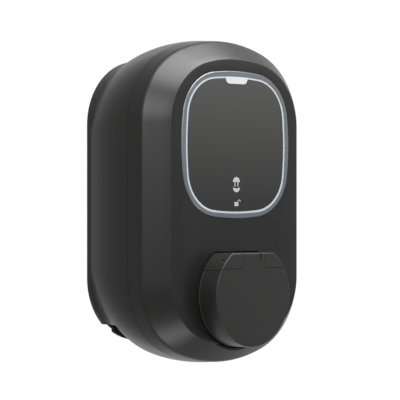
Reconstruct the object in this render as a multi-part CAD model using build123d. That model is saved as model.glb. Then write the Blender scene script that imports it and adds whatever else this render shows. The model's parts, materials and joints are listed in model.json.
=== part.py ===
from build123d import *
from dataclasses import dataclass
import math
import os

# A wall-mounted charging station for electric cars, in millimetres.
# The origin is the centre of the four wall screws, on the wall plane.
# +X is to the right seen from the front, +Y goes into the wall, +Z is up.

# Body
BODY_HALF_WIDTH = 95.2
BODY_HALF_HEIGHT = 138.8
BODY_DEPTH = 89.5
BODY_WALL = 2.6
TOP_RISE_SHARE = 0.77206
CORNER_SHARE = 0.68803
WIDEST_DEPTH_SHARE = 0.49832

# Front cover, measured from the flat front and from the widest section
FRONT_INSET_X = 21.2
FRONT_INSET_Z = 17.7
FRONT_CORNER_CUT = 12.4
BEVEL_DEPTH = 18.0
BEVEL_ROUNDING = 8.0
CREASE_INSET_X = 2.8
CREASE_INSET_Z = 1.6
CREASE_CORNER_EXTRA = 2.0
PARTING_DEPTH = 32.3
PARTING_INSET_X = 1.1
PARTING_INSET_Z = 0.6
PARTING_CORNER_EXTRA = 2.7
PARTING_REVEAL = 0.35
GROOVE_INSET = 0.8
GROOVE_WIDTH = 1.3

# Rear housing
REAR_ROUND_DEPTH = 8.0
REAR_INSET_X = 4.4
REAR_INSET_Z = 4.8
REAR_RISE_EXTRA = 10.0
REAR_CORNER_EXTRA = 6.8
FLANGE_DEPTH = 5.4
FLANGE_INSET_X = 5.0
FLANGE_INSET_Z = 13.4
FLANGE_CORNER_CUT = 9.2
FLANGE_WALL = 3.0
FLANGE_ROUNDING = 1.2
BACK_RECESS = 12.0
BACK_PANEL = 3.0

# Cable notch at the lower rear edge
NOTCH_RISE = 33.6
NOTCH_DEPTH = 22.3
POCKET_HALF_WIDTH = 46.0
POCKET_HEIGHT = 22.0
SUPPLY_ENTRY_X = -28.0
SUPPLY_ENTRY_RADIUS = 6.5
DATA_ENTRY_X = 28.0
DATA_ENTRY_RADIUS = 4.0
ENTRY_Y = -13.6
GROMMET_RIM = 2.0
GROMMET_RIM_HEIGHT = 2.2
GROMMET_INNER_RIM = 0.7
GROMMET_INNER_HEIGHT = 1.6
GROMMET_WALL = 1.6

# Wall plate
PLATE_THICKNESS = 3.2
PLATE_CLEARANCE = 0.4
PLATE_LIP_INSET = 1.4
PLATE_LIP_HALF_WIDTH = 62.7
WALL_SCREW_X = 45.0
WALL_SCREW_Z = 70.0
WALL_SCREW_RADIUS = 2.75
HOOK_X = 36.0
HOOK_Z = 96.0
HOOK_WIDTH = 16.0
HOOK_THICKNESS = 4.0
HOOK_LIP = 5.0
LUG_HALF_WIDTH = 8.0
LUG_THICKNESS = 3.6
LUG_SCREW_RADIUS = 1.9

# Panel on the front: ring, bright line, glass and badge
PANEL_Z = 48.1
RING_HALF_WIDTH = 63.4
RING_HALF_HEIGHT = 62.6
RING_CORNER = 40.4
RING_POWER = 2.95
RING_PROUD = 0.5
RING_SEAT_DEPTH = 2.4
RING_LEDGE = 0.9
LINE_HALF_WIDTH = 58.65
LINE_HALF_HEIGHT = 58.35
LINE_CORNER = 34.8
LINE_POWER = 3.26
LINE_WIDTH = 1.7
GLASS_THICKNESS = 1.7
PANEL_GAP = 0.1
PAD_OVERHANG = 7.6
PAD_THICKNESS = 3.2
PAD_OPENING_INSET = 4.0
PAD_SCREW_DEPTH = 2.6
BADGE_TOP_HALF_WIDTH = 13.8
BADGE_LOW_HALF_WIDTH = 10.9
BADGE_TOP = 57.4
BADGE_LOW = 51.8
BADGE_CORNER = 3.6
BADGE_THICKNESS = 0.4

# Flap and its hinge, measured from the flap's centre
FLAP_Z = -79.3
FLAP_RADIUS = 43.3
FLAP_TAPER = 0.7
FLAP_PROUD = 21.1
FLAP_TOP_CUT = 7.4
FLAP_FACE = 3.0
FLAP_WALL = 2.4
FLAP_ROUNDING = 1.0
FLAP_SEAL = 1.4
FLAP_SEAL_GAP = 0.3
PIN_UNDER_TOP = 6.15
PIN_BEHIND = 4.25
PIN_RADIUS = 1.5
PIN_RUNNING_GAP = 0.08
PIN_RECESS = 2.5
EAR_RADIUS = 7.7
HINGE_GAP = 0.3
TONGUE_LEFT = -12.6
TONGUE_RIGHT = 13.4
TONGUE_RADIUS = 7.45
POCKET_RADIUS = 7.8
SPRING_ROOM_RADIUS = 3.1
SPRING_ROOM_LEFT = -0.3
SPRING_WIRE = 0.35
SPRING_MEAN_RADIUS = 2.4
SPRING_TURNS = 4.25
SPRING_PITCH = 1.9
SPRING_LEG_X = 8.6
SPRING_LEG_SLOT = 1.4
SPRING_SLOT_LOW = 1.2
SPRING_LEG_REACH = 10.2
SPRING_LEG_DROP = 6.8
SPRING_HOLE_GAP = 0.1
PIN_RIGHT_GRIP = 12.0
SEAL_TRIM = 0.25

# Round seat of the flap in the cover
SEAT_GAP = 1.1
PEDESTAL_MARGIN = 0.2
COLLAR_WALL = 2.0
COLLAR_DEPTH = 10.5
SEAL_THICKNESS = 1.0
LIP_THICKNESS = 2.5
SCREW_SEAT_X = 45.5
SCREW_SEAT_Z = 22.0
SCREW_SEAT_RADIUS = 4.2
SMALL_SCREW_RADIUS = 1.4
HEAD_RATIO = 1.85
HEAD_HEIGHT_RATIO = 1.3
DRIVE_RATIO = 0.8

# Socket, after the seven-contact round pattern with a flat top
SOCKET_BELOW = 7.1
RECESS_RADIUS = 32.25
RECESS_TOP = 26.45
RECESS_DEPTH = 36.0
SOCKET_WALL = 1.95
SOCKET_FLOOR = 3.0
SOCKET_CLEARANCE = 0.2
BLOCK_RADIUS = 27.8
BLOCK_TOP = 21.9
BLOCK_RECESS = 3.5
CONTACT_CIRCLE = 17.3
PILOT_X = 9.6
PILOT_Z = 15.0
POWER_CONTACT_RADIUS = 3.9
POWER_BORE_RADIUS = 3.05
PILOT_CONTACT_RADIUS = 2.2
PILOT_BORE_RADIUS = 1.55
CONTACT_GAP = 0.15
CONTACT_RECESS = 3.0
CONTACT_TAIL = 7.0
CONTACT_SHOULDER = 1.6
CONTACT_SHOULDER_STEP = 1.0
BLOCK_CHAMFER = 0.6

# Plug lock
LOCK_DEPTH = 26.5
LOCK_PIN_RADIUS = 2.5
LOCK_PIN_LENGTH = 15.0
LOCK_RUNNING_GAP = 0.08
LOCK_HOLE_GAP = 0.4
LOCK_HALF_WIDTH = 14.0
LOCK_HEIGHT = 23.0
LOCK_FORE = 7.0
LOCK_AFT = 12.0
LOCK_CAP_HEIGHT = 3.0

# Cover screws in their wells
WELL_INSET_X = 20.2
WELL_INSET_Z = 46.8
WELL_RADIUS = 5.2
WELL_WALL = 1.2
WELL_FLOOR = 5.0
COVER_SCREW_RADIUS = 1.75
SCREW_GAP = 0.1
SCREW_GRIP = 9.0

# Boards
BOARD_THICKNESS = 1.6
POWER_BOARD_HALF_WIDTH = 62.0
POWER_BOARD_LOW = -22.0
POWER_BOARD_TOP = 108.0
POWER_BOARD_STANDOFF = 14.0
BOARD_HOLE_INSET = 6.0
STANDOFF_RADIUS = 2.6
STANDOFF_LENGTH = 27.0
CONTROL_BOARD_LOW = 0.0
LED_BOARD_OVERHANG = 6.6
LED_SIZE = 1.6
LED_COUNT = 28
LED_INSET = 6.0
CHIP_HEIGHT = 1.4
RADIO_X = 43.0
RADIO_Z = 89.0
RADIO_WIDTH = 18.0
RADIO_HEIGHT = 26.0
RADIO_DEPTH = 2.6
BOARD_SCREW_LENGTH = 6.0
BOARD_ROUNDING = 2.0
RIBBON_X = 0.0
RIBBON_Z = 8.0
RIBBON_RISE = 16.0
RIBBON_WIDTH = 14.0
RIBBON_THICKNESS = 1.0
RIBBON_BEND = 3.0

# Power parts
RELAY_WIDTH = 13.0
RELAY_DEPTH = 19.0
RELAY_HEIGHT = 28.0
RELAY_PITCH = 17.0
RELAY_COUNT = 4
RELAY_X = -46.0
RELAY_Z = 4.0
SENSOR_RADIUS = 13.0
SENSOR_BORE = 7.0
SENSOR_DEPTH = 11.0
SENSOR_X = 38.0
SENSOR_Z = 10.0
SUPPLY_WIDTH = 46.0
SUPPLY_HEIGHT = 26.0
SUPPLY_DEPTH = 18.0
SUPPLY_X = -28.0
SUPPLY_Z = 62.0
METER_WIDTH = 34.0
METER_HEIGHT = 24.0
METER_DEPTH = 9.0
METER_X = 30.0
METER_Z = 62.0
TERMINAL_POLES = 5
TERMINAL_PITCH = 10.0
TERMINAL_HEIGHT = 17.0
TERMINAL_DEPTH = 24.0
TERMINAL_Z = -52.0
LEAD_RADIUS = 1.6
LEAD_BEND = 4.0
LEAD_LANDING_Z = -16.0
SUPPLY_LEAD_Y = -24.0
SUPPLY_LEAD_TURN_Z = -31.0
POWER_LEAD_Y = -36.0
POWER_LEAD_SPACING = 6.0
POWER_LEAD_X = 32.0
CENTRE_LEAD_X = 27.0
CENTRE_LEAD_TURN_Z = -70.0
SIGNAL_RADIUS = 0.8
SIGNAL_BEND = 2.0
SIGNAL_LEAD_Y = -41.0
SIGNAL_LEAD_X = 15.0
SIGNAL_TURN_Z = -64.0

# Worked-out places
FRONT_Y = -BODY_DEPTH
CREASE_Y = FRONT_Y + BEVEL_DEPTH
PARTING_Y = FRONT_Y + PARTING_DEPTH
WIDEST_Y = -WIDEST_DEPTH_SHARE * BODY_DEPTH
BODY_STRAIGHT = BODY_HALF_HEIGHT - TOP_RISE_SHARE * BODY_HALF_WIDTH
WIDEST_CORNER = CORNER_SHARE * BODY_HALF_WIDTH
NOTCH_LEVEL = NOTCH_RISE - BODY_HALF_HEIGHT
WELL_X = BODY_HALF_WIDTH - WELL_INSET_X
WELL_Z = BODY_HALF_HEIGHT - WELL_INSET_Z
COVER_INNER_Y = FRONT_Y + BODY_WALL
PANEL_FRONT_Y = -BACK_RECESS - BACK_PANEL
FLAP_FACE_Y = FRONT_Y - FLAP_PROUD
PIN_Y = FLAP_FACE_Y + PIN_BEHIND
FLAP_FOOT_RADIUS = FLAP_RADIUS + FLAP_TAPER
FLAP_TOP = FLAP_RADIUS - FLAP_TOP_CUT
PEDESTAL_RADIUS = FLAP_FOOT_RADIUS + PEDESTAL_MARGIN
PIN_ABOVE = FLAP_TOP - PIN_UNDER_TOP
PIN_Z = FLAP_Z + PIN_ABOVE
EAR_TOP = FLAP_TOP - PIN_ABOVE
SWING_RADIUS = EAR_RADIUS + HINGE_GAP
SOCKET_Z = FLAP_Z - SOCKET_BELOW
LIP_FRONT_Y = FRONT_Y + COLLAR_DEPTH + SEAL_THICKNESS
LIP_BACK_Y = LIP_FRONT_Y + LIP_THICKNESS
RECESS_FLOOR_Y = FRONT_Y + RECESS_DEPTH
SOCKET_BACK_Y = RECESS_FLOOR_Y + SOCKET_FLOOR
BOARD_Y = PANEL_FRONT_Y - POWER_BOARD_STANDOFF
BOARD_FRONT_Y = BOARD_Y - BOARD_THICKNESS
CONTROL_Y = BOARD_FRONT_Y - STANDOFF_LENGTH
FAR = 200.0


def point(x, y, z):
    return Vector(x, y, z)


def closed_frame(y, side, side_middle, corner_middle, top_end, top):
    """A closed frame of eight edges with two planes of symmetry, at depth y, from the points of one quarter."""
    turns = [(1, 1), (-1, 1), (-1, -1), (1, -1)]
    across = (-top_end[0], top_end[1])
    edges = []
    for sx, sz in turns:
        start, end = (side, top_end) if sx == sz else (top_end, side)
        corner = [point(sx * px, y, sz * pz) for px, pz in (start, corner_middle, end)]
        edges.append(Edge.make_three_point_arc(*corner))
        if sx == sz:
            flat = [point(sx * px, y, sz * pz) for px, pz in (top_end, top, across)]
            edges.append(Edge.make_three_point_arc(*flat))
        else:
            start, end = point(sx * side[0], y, sz * side[1]), point(sx * side[0], y, -sz * side[1])
            straight = side_middle[0] == side[0]
            middle = point(sx * side_middle[0], y, 0)
            edges.append(Edge.make_line(start, end) if straight else Edge.make_three_point_arc(start, middle, end))
    return Face(Wire(edges))


@dataclass(frozen=True)
class Outline:
    """The body's frame: straight sides, round corners, and a flatter arc across the top and the bottom."""

    half_width: float
    half_height: float
    straight: float
    corner: float

    def inset(self, amount):
        """The same outline, smaller all round."""
        return Outline(self.half_width - amount, self.half_height - amount, self.straight, self.corner - amount)

    def face(self, y):
        """The outline as a flat face at a depth."""
        centre_x = self.half_width - self.corner
        rise = self.half_height - self.straight
        top_radius = (centre_x**2 + rise**2 - self.corner**2) / (2 * (rise - self.corner))
        lean = math.atan2(self.straight - self.half_height + top_radius, centre_x)
        on_corner = lambda angle: (
            centre_x + self.corner * math.cos(angle),
            self.straight + self.corner * math.sin(angle),
        )
        side = (self.half_width, self.straight)
        return closed_frame(y, side, side, on_corner(lean / 2), on_corner(lean), (0, self.half_height))


@dataclass(frozen=True)
class Squircle:
    """The panel's frame: four shallow arcs and four corner arcs that follow a superellipse."""

    half_width: float
    half_height: float
    corner: float
    power: float

    def inset(self, amount):
        """The same squircle, smaller all round."""
        corner = self.corner - amount
        return Squircle(self.half_width - amount, self.half_height - amount, corner, self.power)

    def face(self, y, centre_z):
        """The squircle as a flat face at a depth and height."""
        shrink = 2 ** (-1 / self.power)
        diagonal = self.corner / math.sqrt(2)
        centre_x = self.half_width * shrink - diagonal
        centre_y = self.half_height * shrink - diagonal
        side_radius = self._shallow(self.half_width - centre_x, centre_y)
        top_radius = self._shallow(self.half_height - centre_y, centre_x)
        low = math.atan2(centre_y, centre_x - self.half_width + side_radius)
        high = math.atan2(centre_y - self.half_height + top_radius, centre_x)
        on_corner = lambda angle: (
            centre_x + self.corner * math.cos(angle),
            centre_y + self.corner * math.sin(angle),
        )
        flat = closed_frame(
            y, on_corner(low), (self.half_width, 0), on_corner((low + high) / 2), on_corner(high), (0, self.half_height)
        )
        return flat.moved(Location((0, 0, centre_z)))

    def _shallow(self, reach, across):
        """Radius of the shallow arc that meets a corner arc smoothly."""
        return (reach**2 + across**2 - self.corner**2) / (2 * (reach - self.corner))


def dee(radius, flat_top, centre_z, y):
    """A circle with its top cut flat, as a face at a depth."""
    half = math.sqrt(radius**2 - flat_top**2)
    left, right = point(-half, y, centre_z + flat_top), point(half, y, centre_z + flat_top)
    bottom = point(0, y, centre_z - radius)
    return Face(Wire([Edge.make_line(left, right), Edge.make_three_point_arc(right, bottom, left)]))


def prism(face, y_end):
    """A face drawn out along Y to a second depth."""
    return extrude(face, amount=y_end - face.center().Y, dir=(0, 1, 0))


def rod_y(radius, x, z, y_start, y_end):
    """A round bar along Y."""
    middle = Location((x, (y_start + y_end) / 2, z), (90, 0, 0))
    return Cylinder(radius, abs(y_end - y_start)).moved(middle)


def rod_x(radius, y, z, x_start, x_end):
    """A round bar along X."""
    middle = Location(((x_start + x_end) / 2, y, z), (0, 90, 0))
    return Cylinder(radius, abs(x_end - x_start)).moved(middle)


def rod_z(radius, x, y, z_start, z_end):
    """A round bar along Z."""
    return Cylinder(radius, abs(z_end - z_start)).moved(Location((x, y, (z_start + z_end) / 2)))


def block(x_range, y_range, z_range):
    """A box between three pairs of limits."""
    limits = (x_range, y_range, z_range)
    sizes = [high - low for low, high in limits]
    middle = [(low + high) / 2 for low, high in limits]
    return Box(*sizes).moved(Location(tuple(middle)))


def corners(x, z, centre_z=0.0):
    """The four points of a rectangle, as X and Z pairs."""
    return [(sx * x, centre_z + sz * z) for sx in (-1, 1) for sz in (-1, 1)]


WIDEST = Outline(BODY_HALF_WIDTH, BODY_HALF_HEIGHT, BODY_STRAIGHT, WIDEST_CORNER)
FRONT = Outline(
    BODY_HALF_WIDTH - FRONT_INSET_X, BODY_HALF_HEIGHT - FRONT_INSET_Z, BODY_STRAIGHT,
    WIDEST_CORNER - FRONT_CORNER_CUT,
)
CREASE = Outline(
    BODY_HALF_WIDTH - CREASE_INSET_X, BODY_HALF_HEIGHT - CREASE_INSET_Z, BODY_STRAIGHT,
    WIDEST_CORNER + CREASE_CORNER_EXTRA,
)
PARTING = Outline(
    BODY_HALF_WIDTH - PARTING_INSET_X, BODY_HALF_HEIGHT - PARTING_INSET_Z, BODY_STRAIGHT,
    WIDEST_CORNER + PARTING_CORNER_EXTRA,
)
REAR = Outline(
    BODY_HALF_WIDTH - REAR_INSET_X, BODY_HALF_HEIGHT - REAR_INSET_Z, BODY_STRAIGHT - REAR_RISE_EXTRA,
    WIDEST_CORNER + REAR_CORNER_EXTRA,
)
FLANGE = Outline(
    BODY_HALF_WIDTH - FLANGE_INSET_X, BODY_HALF_HEIGHT - FLANGE_INSET_Z, BODY_STRAIGHT,
    WIDEST_CORNER - FLANGE_CORNER_CUT,
)
RING = Squircle(RING_HALF_WIDTH, RING_HALF_HEIGHT, RING_CORNER, RING_POWER)
LINE = Squircle(LINE_HALF_WIDTH, LINE_HALF_HEIGHT, LINE_CORNER, LINE_POWER)
NOTCH = block((-FAR, FAR), (-NOTCH_DEPTH, FAR), (-FAR, NOTCH_LEVEL))


def cover_envelope():
    """The solid outer form of the front cover: a bevel that rolls over into the sides."""
    form = loft([FRONT.face(FRONT_Y), CREASE.face(CREASE_Y), PARTING.face(PARTING_Y)], ruled=True)
    crease = [edge for edge in form.edges() if abs(edge.center().Y - CREASE_Y) < 0.01]
    return fillet(crease, BEVEL_ROUNDING)


def cover_cavity():
    """The inside of the front cover, one wall thickness in."""
    mitre = math.tan(math.atan2(FRONT_INSET_X - CREASE_INSET_X, BEVEL_DEPTH) / 2)
    front = FRONT.inset(BODY_WALL * mitre).face(COVER_INNER_Y)
    crease = CREASE.inset(BODY_WALL).face(CREASE_Y + BODY_WALL * mitre)
    back = PARTING.inset(BODY_WALL).face(PARTING_Y)
    return loft([front, crease, back], ruled=True)


def front_cover():
    """The bevelled front shell, with the panel's seat and the flap's collar."""
    envelope = cover_envelope()
    shell = envelope - cover_cavity()
    pad = prism(RING.inset(-PAD_OVERHANG).face(COVER_INNER_Y, PANEL_Z), FRONT_Y + RING_SEAT_DEPTH + PAD_THICKNESS)
    collar_size = PEDESTAL_RADIUS + SEAT_GAP
    collar_top = FLAP_TOP + SEAT_GAP
    collar_face = dee(collar_size + COLLAR_WALL, collar_top + COLLAR_WALL, FLAP_Z, FRONT_Y)
    collar = prism(collar_face, FRONT_Y + COLLAR_DEPTH) & envelope
    shell = shell + pad + collar
    for x, z in corners(SCREW_SEAT_X, SCREW_SEAT_Z, FLAP_Z):
        shell = shell + (rod_y(SCREW_SEAT_RADIUS, x, z, FRONT_Y, LIP_FRONT_Y) & envelope)
    for x, z in corners(WELL_X, WELL_Z):
        shell = shell + (rod_y(WELL_RADIUS, x, z, FRONT_Y, PARTING_Y) & envelope)
    shell = shell - prism(dee(collar_size, collar_top, FLAP_Z, FRONT_Y - BODY_WALL), LIP_FRONT_Y)
    for x, z in corners(SCREW_SEAT_X, SCREW_SEAT_Z, FLAP_Z):
        shell = shell - rod_y(SMALL_SCREW_RADIUS + SCREW_GAP, x, z, COVER_INNER_Y, LIP_FRONT_Y)
    for x, z in corners(WELL_X, WELL_Z):
        tip = PARTING_Y - SCREW_GRIP - SCREW_GAP
        shell = shell - rod_y(COVER_SCREW_RADIUS + SCREW_GAP, x, z, tip, PARTING_Y)
    seat_y = FRONT_Y + RING_SEAT_DEPTH
    shell = shell - prism(RING.inset(-PANEL_GAP).face(FRONT_Y - 1, PANEL_Z), seat_y)
    shell = shell - prism(RING.inset(PAD_OPENING_INSET).face(FRONT_Y - 1, PANEL_Z), seat_y + PAD_THICKNESS)
    for x, z in board_screw_places():
        blind = seat_y + PAD_THICKNESS - PAD_SCREW_DEPTH
        shell = shell - rod_y(SMALL_SCREW_RADIUS + SCREW_GAP, x, z, blind, seat_y + PAD_THICKNESS)
    return shell - cover_gasket()


def cover_gasket():
    """The cord seal that fills the cover's groove."""
    front = PARTING_Y - SEAL_THICKNESS
    outer = prism(PARTING.inset(GROOVE_INSET).face(front), PARTING_Y)
    return outer - prism(PARTING.inset(GROOVE_INSET + GROOVE_WIDTH).face(front), PARTING_Y)


def housing_envelope():
    """The solid outer form of the rear housing, with its squarer flange at the wall."""
    swell = loft([PARTING.face(PARTING_Y), WIDEST.face(WIDEST_Y), REAR.face(-REAR_ROUND_DEPTH)])
    tuck = loft([REAR.face(-REAR_ROUND_DEPTH), FLANGE.inset(FLANGE_ROUNDING).face(0)], ruled=True)
    flange = prism(FLANGE.face(-FLANGE_DEPTH), 0)
    rim = [edge for edge in flange.edges() if abs(edge.center().Y + FLANGE_DEPTH) < 0.01]
    return swell + tuck + fillet(rim, FLANGE_ROUNDING)


def back_recess():
    """The hollow at the back that takes the wall plate and its hooks."""
    inner = FLANGE.inset(FLANGE_WALL)
    deep = REAR.inset(FLANGE_WALL + BODY_WALL)
    mouth = prism(inner.face(-FLANGE_DEPTH), 0)
    throat = loft([deep.face(-BACK_RECESS), inner.face(-FLANGE_DEPTH)], ruled=True)
    return mouth + throat


def rear_housing():
    """The deep rear shell: back panel, cable notch, grommet pocket, screw wells and board posts."""
    envelope = housing_envelope()
    cavity = loft(
        [
            PARTING.inset(BODY_WALL).face(PARTING_Y),
            WIDEST.inset(BODY_WALL).face(WIDEST_Y),
            REAR.inset(BODY_WALL).face(-REAR_ROUND_DEPTH),
        ]
    )
    cavity = cavity & block((-FAR, FAR), (PARTING_Y - 1, PANEL_FRONT_Y), (-FAR, FAR))
    shell = envelope - cavity - back_recess()
    reveal_y = PARTING_Y + PARTING_REVEAL
    reveal = prism(WIDEST.face(PARTING_Y), reveal_y) - prism(PARTING.inset(PARTING_REVEAL).face(PARTING_Y), reveal_y)
    shell = shell - reveal - NOTCH
    wall_y = -NOTCH_DEPTH - BODY_WALL
    front_wall = block((-FAR, FAR), (wall_y, -NOTCH_DEPTH), (-FAR, NOTCH_LEVEL + BODY_WALL))
    ceiling = block((-FAR, FAR), (wall_y, -BACK_RECESS), (NOTCH_LEVEL, NOTCH_LEVEL + BODY_WALL))
    shell = shell + ((front_wall + ceiling) & envelope)
    pocket_back = -PLATE_THICKNESS - PLATE_CLEARANCE
    pocket_top = NOTCH_LEVEL + POCKET_HEIGHT
    pocket_x = (-POCKET_HALF_WIDTH, POCKET_HALF_WIDTH)
    shell = shell + block(pocket_x, (PANEL_FRONT_Y, pocket_back), (NOTCH_LEVEL, pocket_top))
    inner = POCKET_HALF_WIDTH - BODY_WALL
    shell = shell - block(
        (-inner, inner), (wall_y - 1, pocket_back - BODY_WALL), (NOTCH_LEVEL + BODY_WALL, pocket_top - BODY_WALL)
    )
    for x, z in corners(WELL_X, WELL_Z):
        shell = shell + rod_y(WELL_RADIUS, x, z, PARTING_Y, -BACK_RECESS)
        shell = shell - rod_y(WELL_RADIUS - WELL_WALL, x, z, PARTING_Y + WELL_FLOOR, 0)
        shell = shell - rod_y(COVER_SCREW_RADIUS + SCREW_GAP, x, z, PARTING_Y, PARTING_Y + WELL_FLOOR)
    for x, z in board_corners():
        shell = shell + rod_y(STANDOFF_RADIUS + BODY_WALL / 2, x, z, BOARD_Y, PANEL_FRONT_Y)
        shell = shell - rod_y(SMALL_SCREW_RADIUS + SCREW_GAP, x, z, BOARD_Y, BOARD_Y + BOARD_SCREW_LENGTH)
    slot_low, slot_top = HOOK_Z - HOOK_THICKNESS - HOOK_LIP, HOOK_Z
    for side in (-1, 1):
        reach = HOOK_WIDTH / 2 + PLATE_CLEARANCE
        x_range = (side * HOOK_X - reach, side * HOOK_X + reach)
        shell = shell - block(x_range, (PANEL_FRONT_Y - 1, -BACK_RECESS + 1), (slot_low, slot_top))
    for x, radius in ((SUPPLY_ENTRY_X, SUPPLY_ENTRY_RADIUS), (DATA_ENTRY_X, DATA_ENTRY_RADIUS)):
        shell = shell - rod_z(radius, x, ENTRY_Y, NOTCH_LEVEL - 1, NOTCH_LEVEL + BODY_WALL + 1)
    return shell - rod_z(LUG_SCREW_RADIUS + SCREW_GAP, 0, ENTRY_Y, NOTCH_LEVEL - 1, NOTCH_LEVEL + BODY_WALL + 1)


def grommet(x, radius):
    """A membrane grommet clipped into the notch's ceiling, still unpierced."""
    low, high = NOTCH_LEVEL, NOTCH_LEVEL + BODY_WALL
    rim_low, top = low - GROMMET_RIM_HEIGHT, high + GROMMET_INNER_HEIGHT
    body = rod_z(radius, x, ENTRY_Y, low, high) + rod_z(radius + GROMMET_RIM, x, ENTRY_Y, rim_low, low)
    body = body + rod_z(radius + GROMMET_INNER_RIM, x, ENTRY_Y, high, top)
    height = radius * 0.7
    nose = Cone(radius - GROMMET_INNER_RIM, radius * 0.45, height)
    nose = nose.moved(Location((x, ENTRY_Y, rim_low - height / 2), (180, 0, 0)))
    hollow = rod_z(radius - GROMMET_WALL, x, ENTRY_Y, rim_low + GROMMET_WALL, top)
    return body + nose - hollow


def wall_plate():
    """The black plate on the wall, with two hooks and a screw lug; its lower lip shows in the notch."""
    plate = prism(FLANGE.inset(FLANGE_WALL + PLATE_CLEARANCE).face(-PLATE_THICKNESS), 0)
    lip = prism(FLANGE.inset(PLATE_LIP_INSET).face(-PLATE_THICKNESS), 0)
    lip_top = NOTCH_LEVEL - PLATE_CLEARANCE
    lip = lip & block((-PLATE_LIP_HALF_WIDTH, PLATE_LIP_HALF_WIDTH), (-FAR, FAR), (-FAR, lip_top))
    plate = plate + lip
    tip_y = PANEL_FRONT_Y - PLATE_CLEARANCE - HOOK_THICKNESS
    for side in (-1, 1):
        x_range = (side * HOOK_X - HOOK_WIDTH / 2, side * HOOK_X + HOOK_WIDTH / 2)
        arm = block(x_range, (tip_y, -PLATE_THICKNESS), (HOOK_Z - HOOK_THICKNESS, HOOK_Z))
        catch = block(x_range, (tip_y, tip_y + HOOK_THICKNESS), (HOOK_Z - HOOK_THICKNESS, HOOK_Z + HOOK_LIP))
        plate = plate + arm + catch
    lug_top = NOTCH_LEVEL
    lug = block(
        (-LUG_HALF_WIDTH, LUG_HALF_WIDTH), (ENTRY_Y - 6, -PLATE_THICKNESS), (lug_top - LUG_THICKNESS, lug_top)
    )
    plate = plate + lug - rod_z(LUG_SCREW_RADIUS + 2 * SCREW_GAP, 0, ENTRY_Y, lug_top - 10, lug_top + 1)
    for x, z in corners(WALL_SCREW_X, WALL_SCREW_Z):
        plate = plate + rod_y(WALL_SCREW_RADIUS * 2.2, x, z, -PLATE_THICKNESS * 1.4, 0)
        plate = plate - rod_y(WALL_SCREW_RADIUS, x, z, -PLATE_THICKNESS * 2, 1)
    return plate


def screw_z(x, y, seat_z, length, radius):
    """A pan-head screw that points up."""
    head_z = seat_z - radius * HEAD_HEIGHT_RATIO
    head = rod_z(radius * HEAD_RATIO, x, y, head_z, seat_z)
    drive = RegularPolygon(radius * DRIVE_RATIO, 6).moved(Location((x, y, head_z)))
    screw = rod_z(radius, x, y, seat_z, seat_z + length) + head
    return screw - extrude(drive, amount=radius * DRIVE_RATIO, dir=(0, 0, 1))


def screw_y(x, z, seat_y, length, radius, heading=-1):
    """A pan-head screw that points to the front, or to the wall with heading 1."""
    head_y = seat_y - heading * radius * HEAD_HEIGHT_RATIO
    head = rod_y(radius * HEAD_RATIO, x, z, seat_y, head_y)
    drive = RegularPolygon(radius * DRIVE_RATIO, 6).moved(Location((x, head_y, z), (90, 0, 0)))
    screw = rod_y(radius, x, z, seat_y, seat_y + heading * length) + head
    return screw - extrude(drive, amount=radius * DRIVE_RATIO, dir=(0, heading, 0))


def locking_screw():
    return screw_z(0, ENTRY_Y, NOTCH_LEVEL - LUG_THICKNESS, LUG_THICKNESS + BODY_WALL + 2, LUG_SCREW_RADIUS)


def cover_screws():
    seat = PARTING_Y + WELL_FLOOR
    return [screw_y(x, z, seat, WELL_FLOOR + SCREW_GRIP, COVER_SCREW_RADIUS) for x, z in corners(WELL_X, WELL_Z)]


def light_ring():
    """The translucent bezel, with a ledge that carries the bright line and the glass."""
    seat_y = FRONT_Y + RING_SEAT_DEPTH
    ring = prism(RING.face(FRONT_Y - RING_PROUD, PANEL_Z), seat_y)
    front = [edge for edge in ring.edges() if abs(edge.center().Y - FRONT_Y + RING_PROUD) < 0.01]
    ring = chamfer(front, RING_PROUD)
    ring = ring - prism(LINE.face(FRONT_Y - RING_PROUD, PANEL_Z), seat_y - RING_LEDGE)
    return ring - prism(LINE.inset(LINE_WIDTH + PAD_OPENING_INSET).face(FRONT_Y - 1, PANEL_Z), seat_y)


def glass_front():
    """Depth of the front of the glass and the line."""
    return FRONT_Y + RING_SEAT_DEPTH - RING_LEDGE - GLASS_THICKNESS


def light_line():
    """The thin diffuser that shows as a bright line inside the bezel."""
    back = glass_front() + GLASS_THICKNESS
    outer = prism(LINE.inset(PANEL_GAP / 2).face(glass_front(), PANEL_Z), back)
    return outer - prism(LINE.inset(LINE_WIDTH).face(glass_front(), PANEL_Z), back)


def touch_glass():
    """The dark glass of the display and card reader."""
    return prism(LINE.inset(LINE_WIDTH + PANEL_GAP).face(glass_front(), PANEL_Z), glass_front() + GLASS_THICKNESS)


def badge_tab():
    """The bare pale tab that hangs from the top of the bright line."""
    y = glass_front() - BADGE_THICKNESS
    shape = [
        (-BADGE_TOP_HALF_WIDTH, BADGE_TOP),
        (-BADGE_LOW_HALF_WIDTH, BADGE_LOW),
        (BADGE_LOW_HALF_WIDTH, BADGE_LOW),
        (BADGE_TOP_HALF_WIDTH, BADGE_TOP),
    ]
    face = Face(Wire.make_polygon([point(x, y, PANEL_Z + z) for x, z in shape], close=True))
    tab = prism(face, glass_front())
    low = [edge for edge in tab.edges().filter_by(Axis.Y) if edge.center().Z < PANEL_Z + BADGE_TOP - 1]
    return fillet(low, BADGE_CORNER)


def board_screw_places():
    """Where the light board is screwed to the pad."""
    across = RING_HALF_WIDTH + (PAD_OVERHANG - PAD_OPENING_INSET) / 3
    return corners(across, RING_HALF_HEIGHT * 0.3, PANEL_Z)


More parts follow.
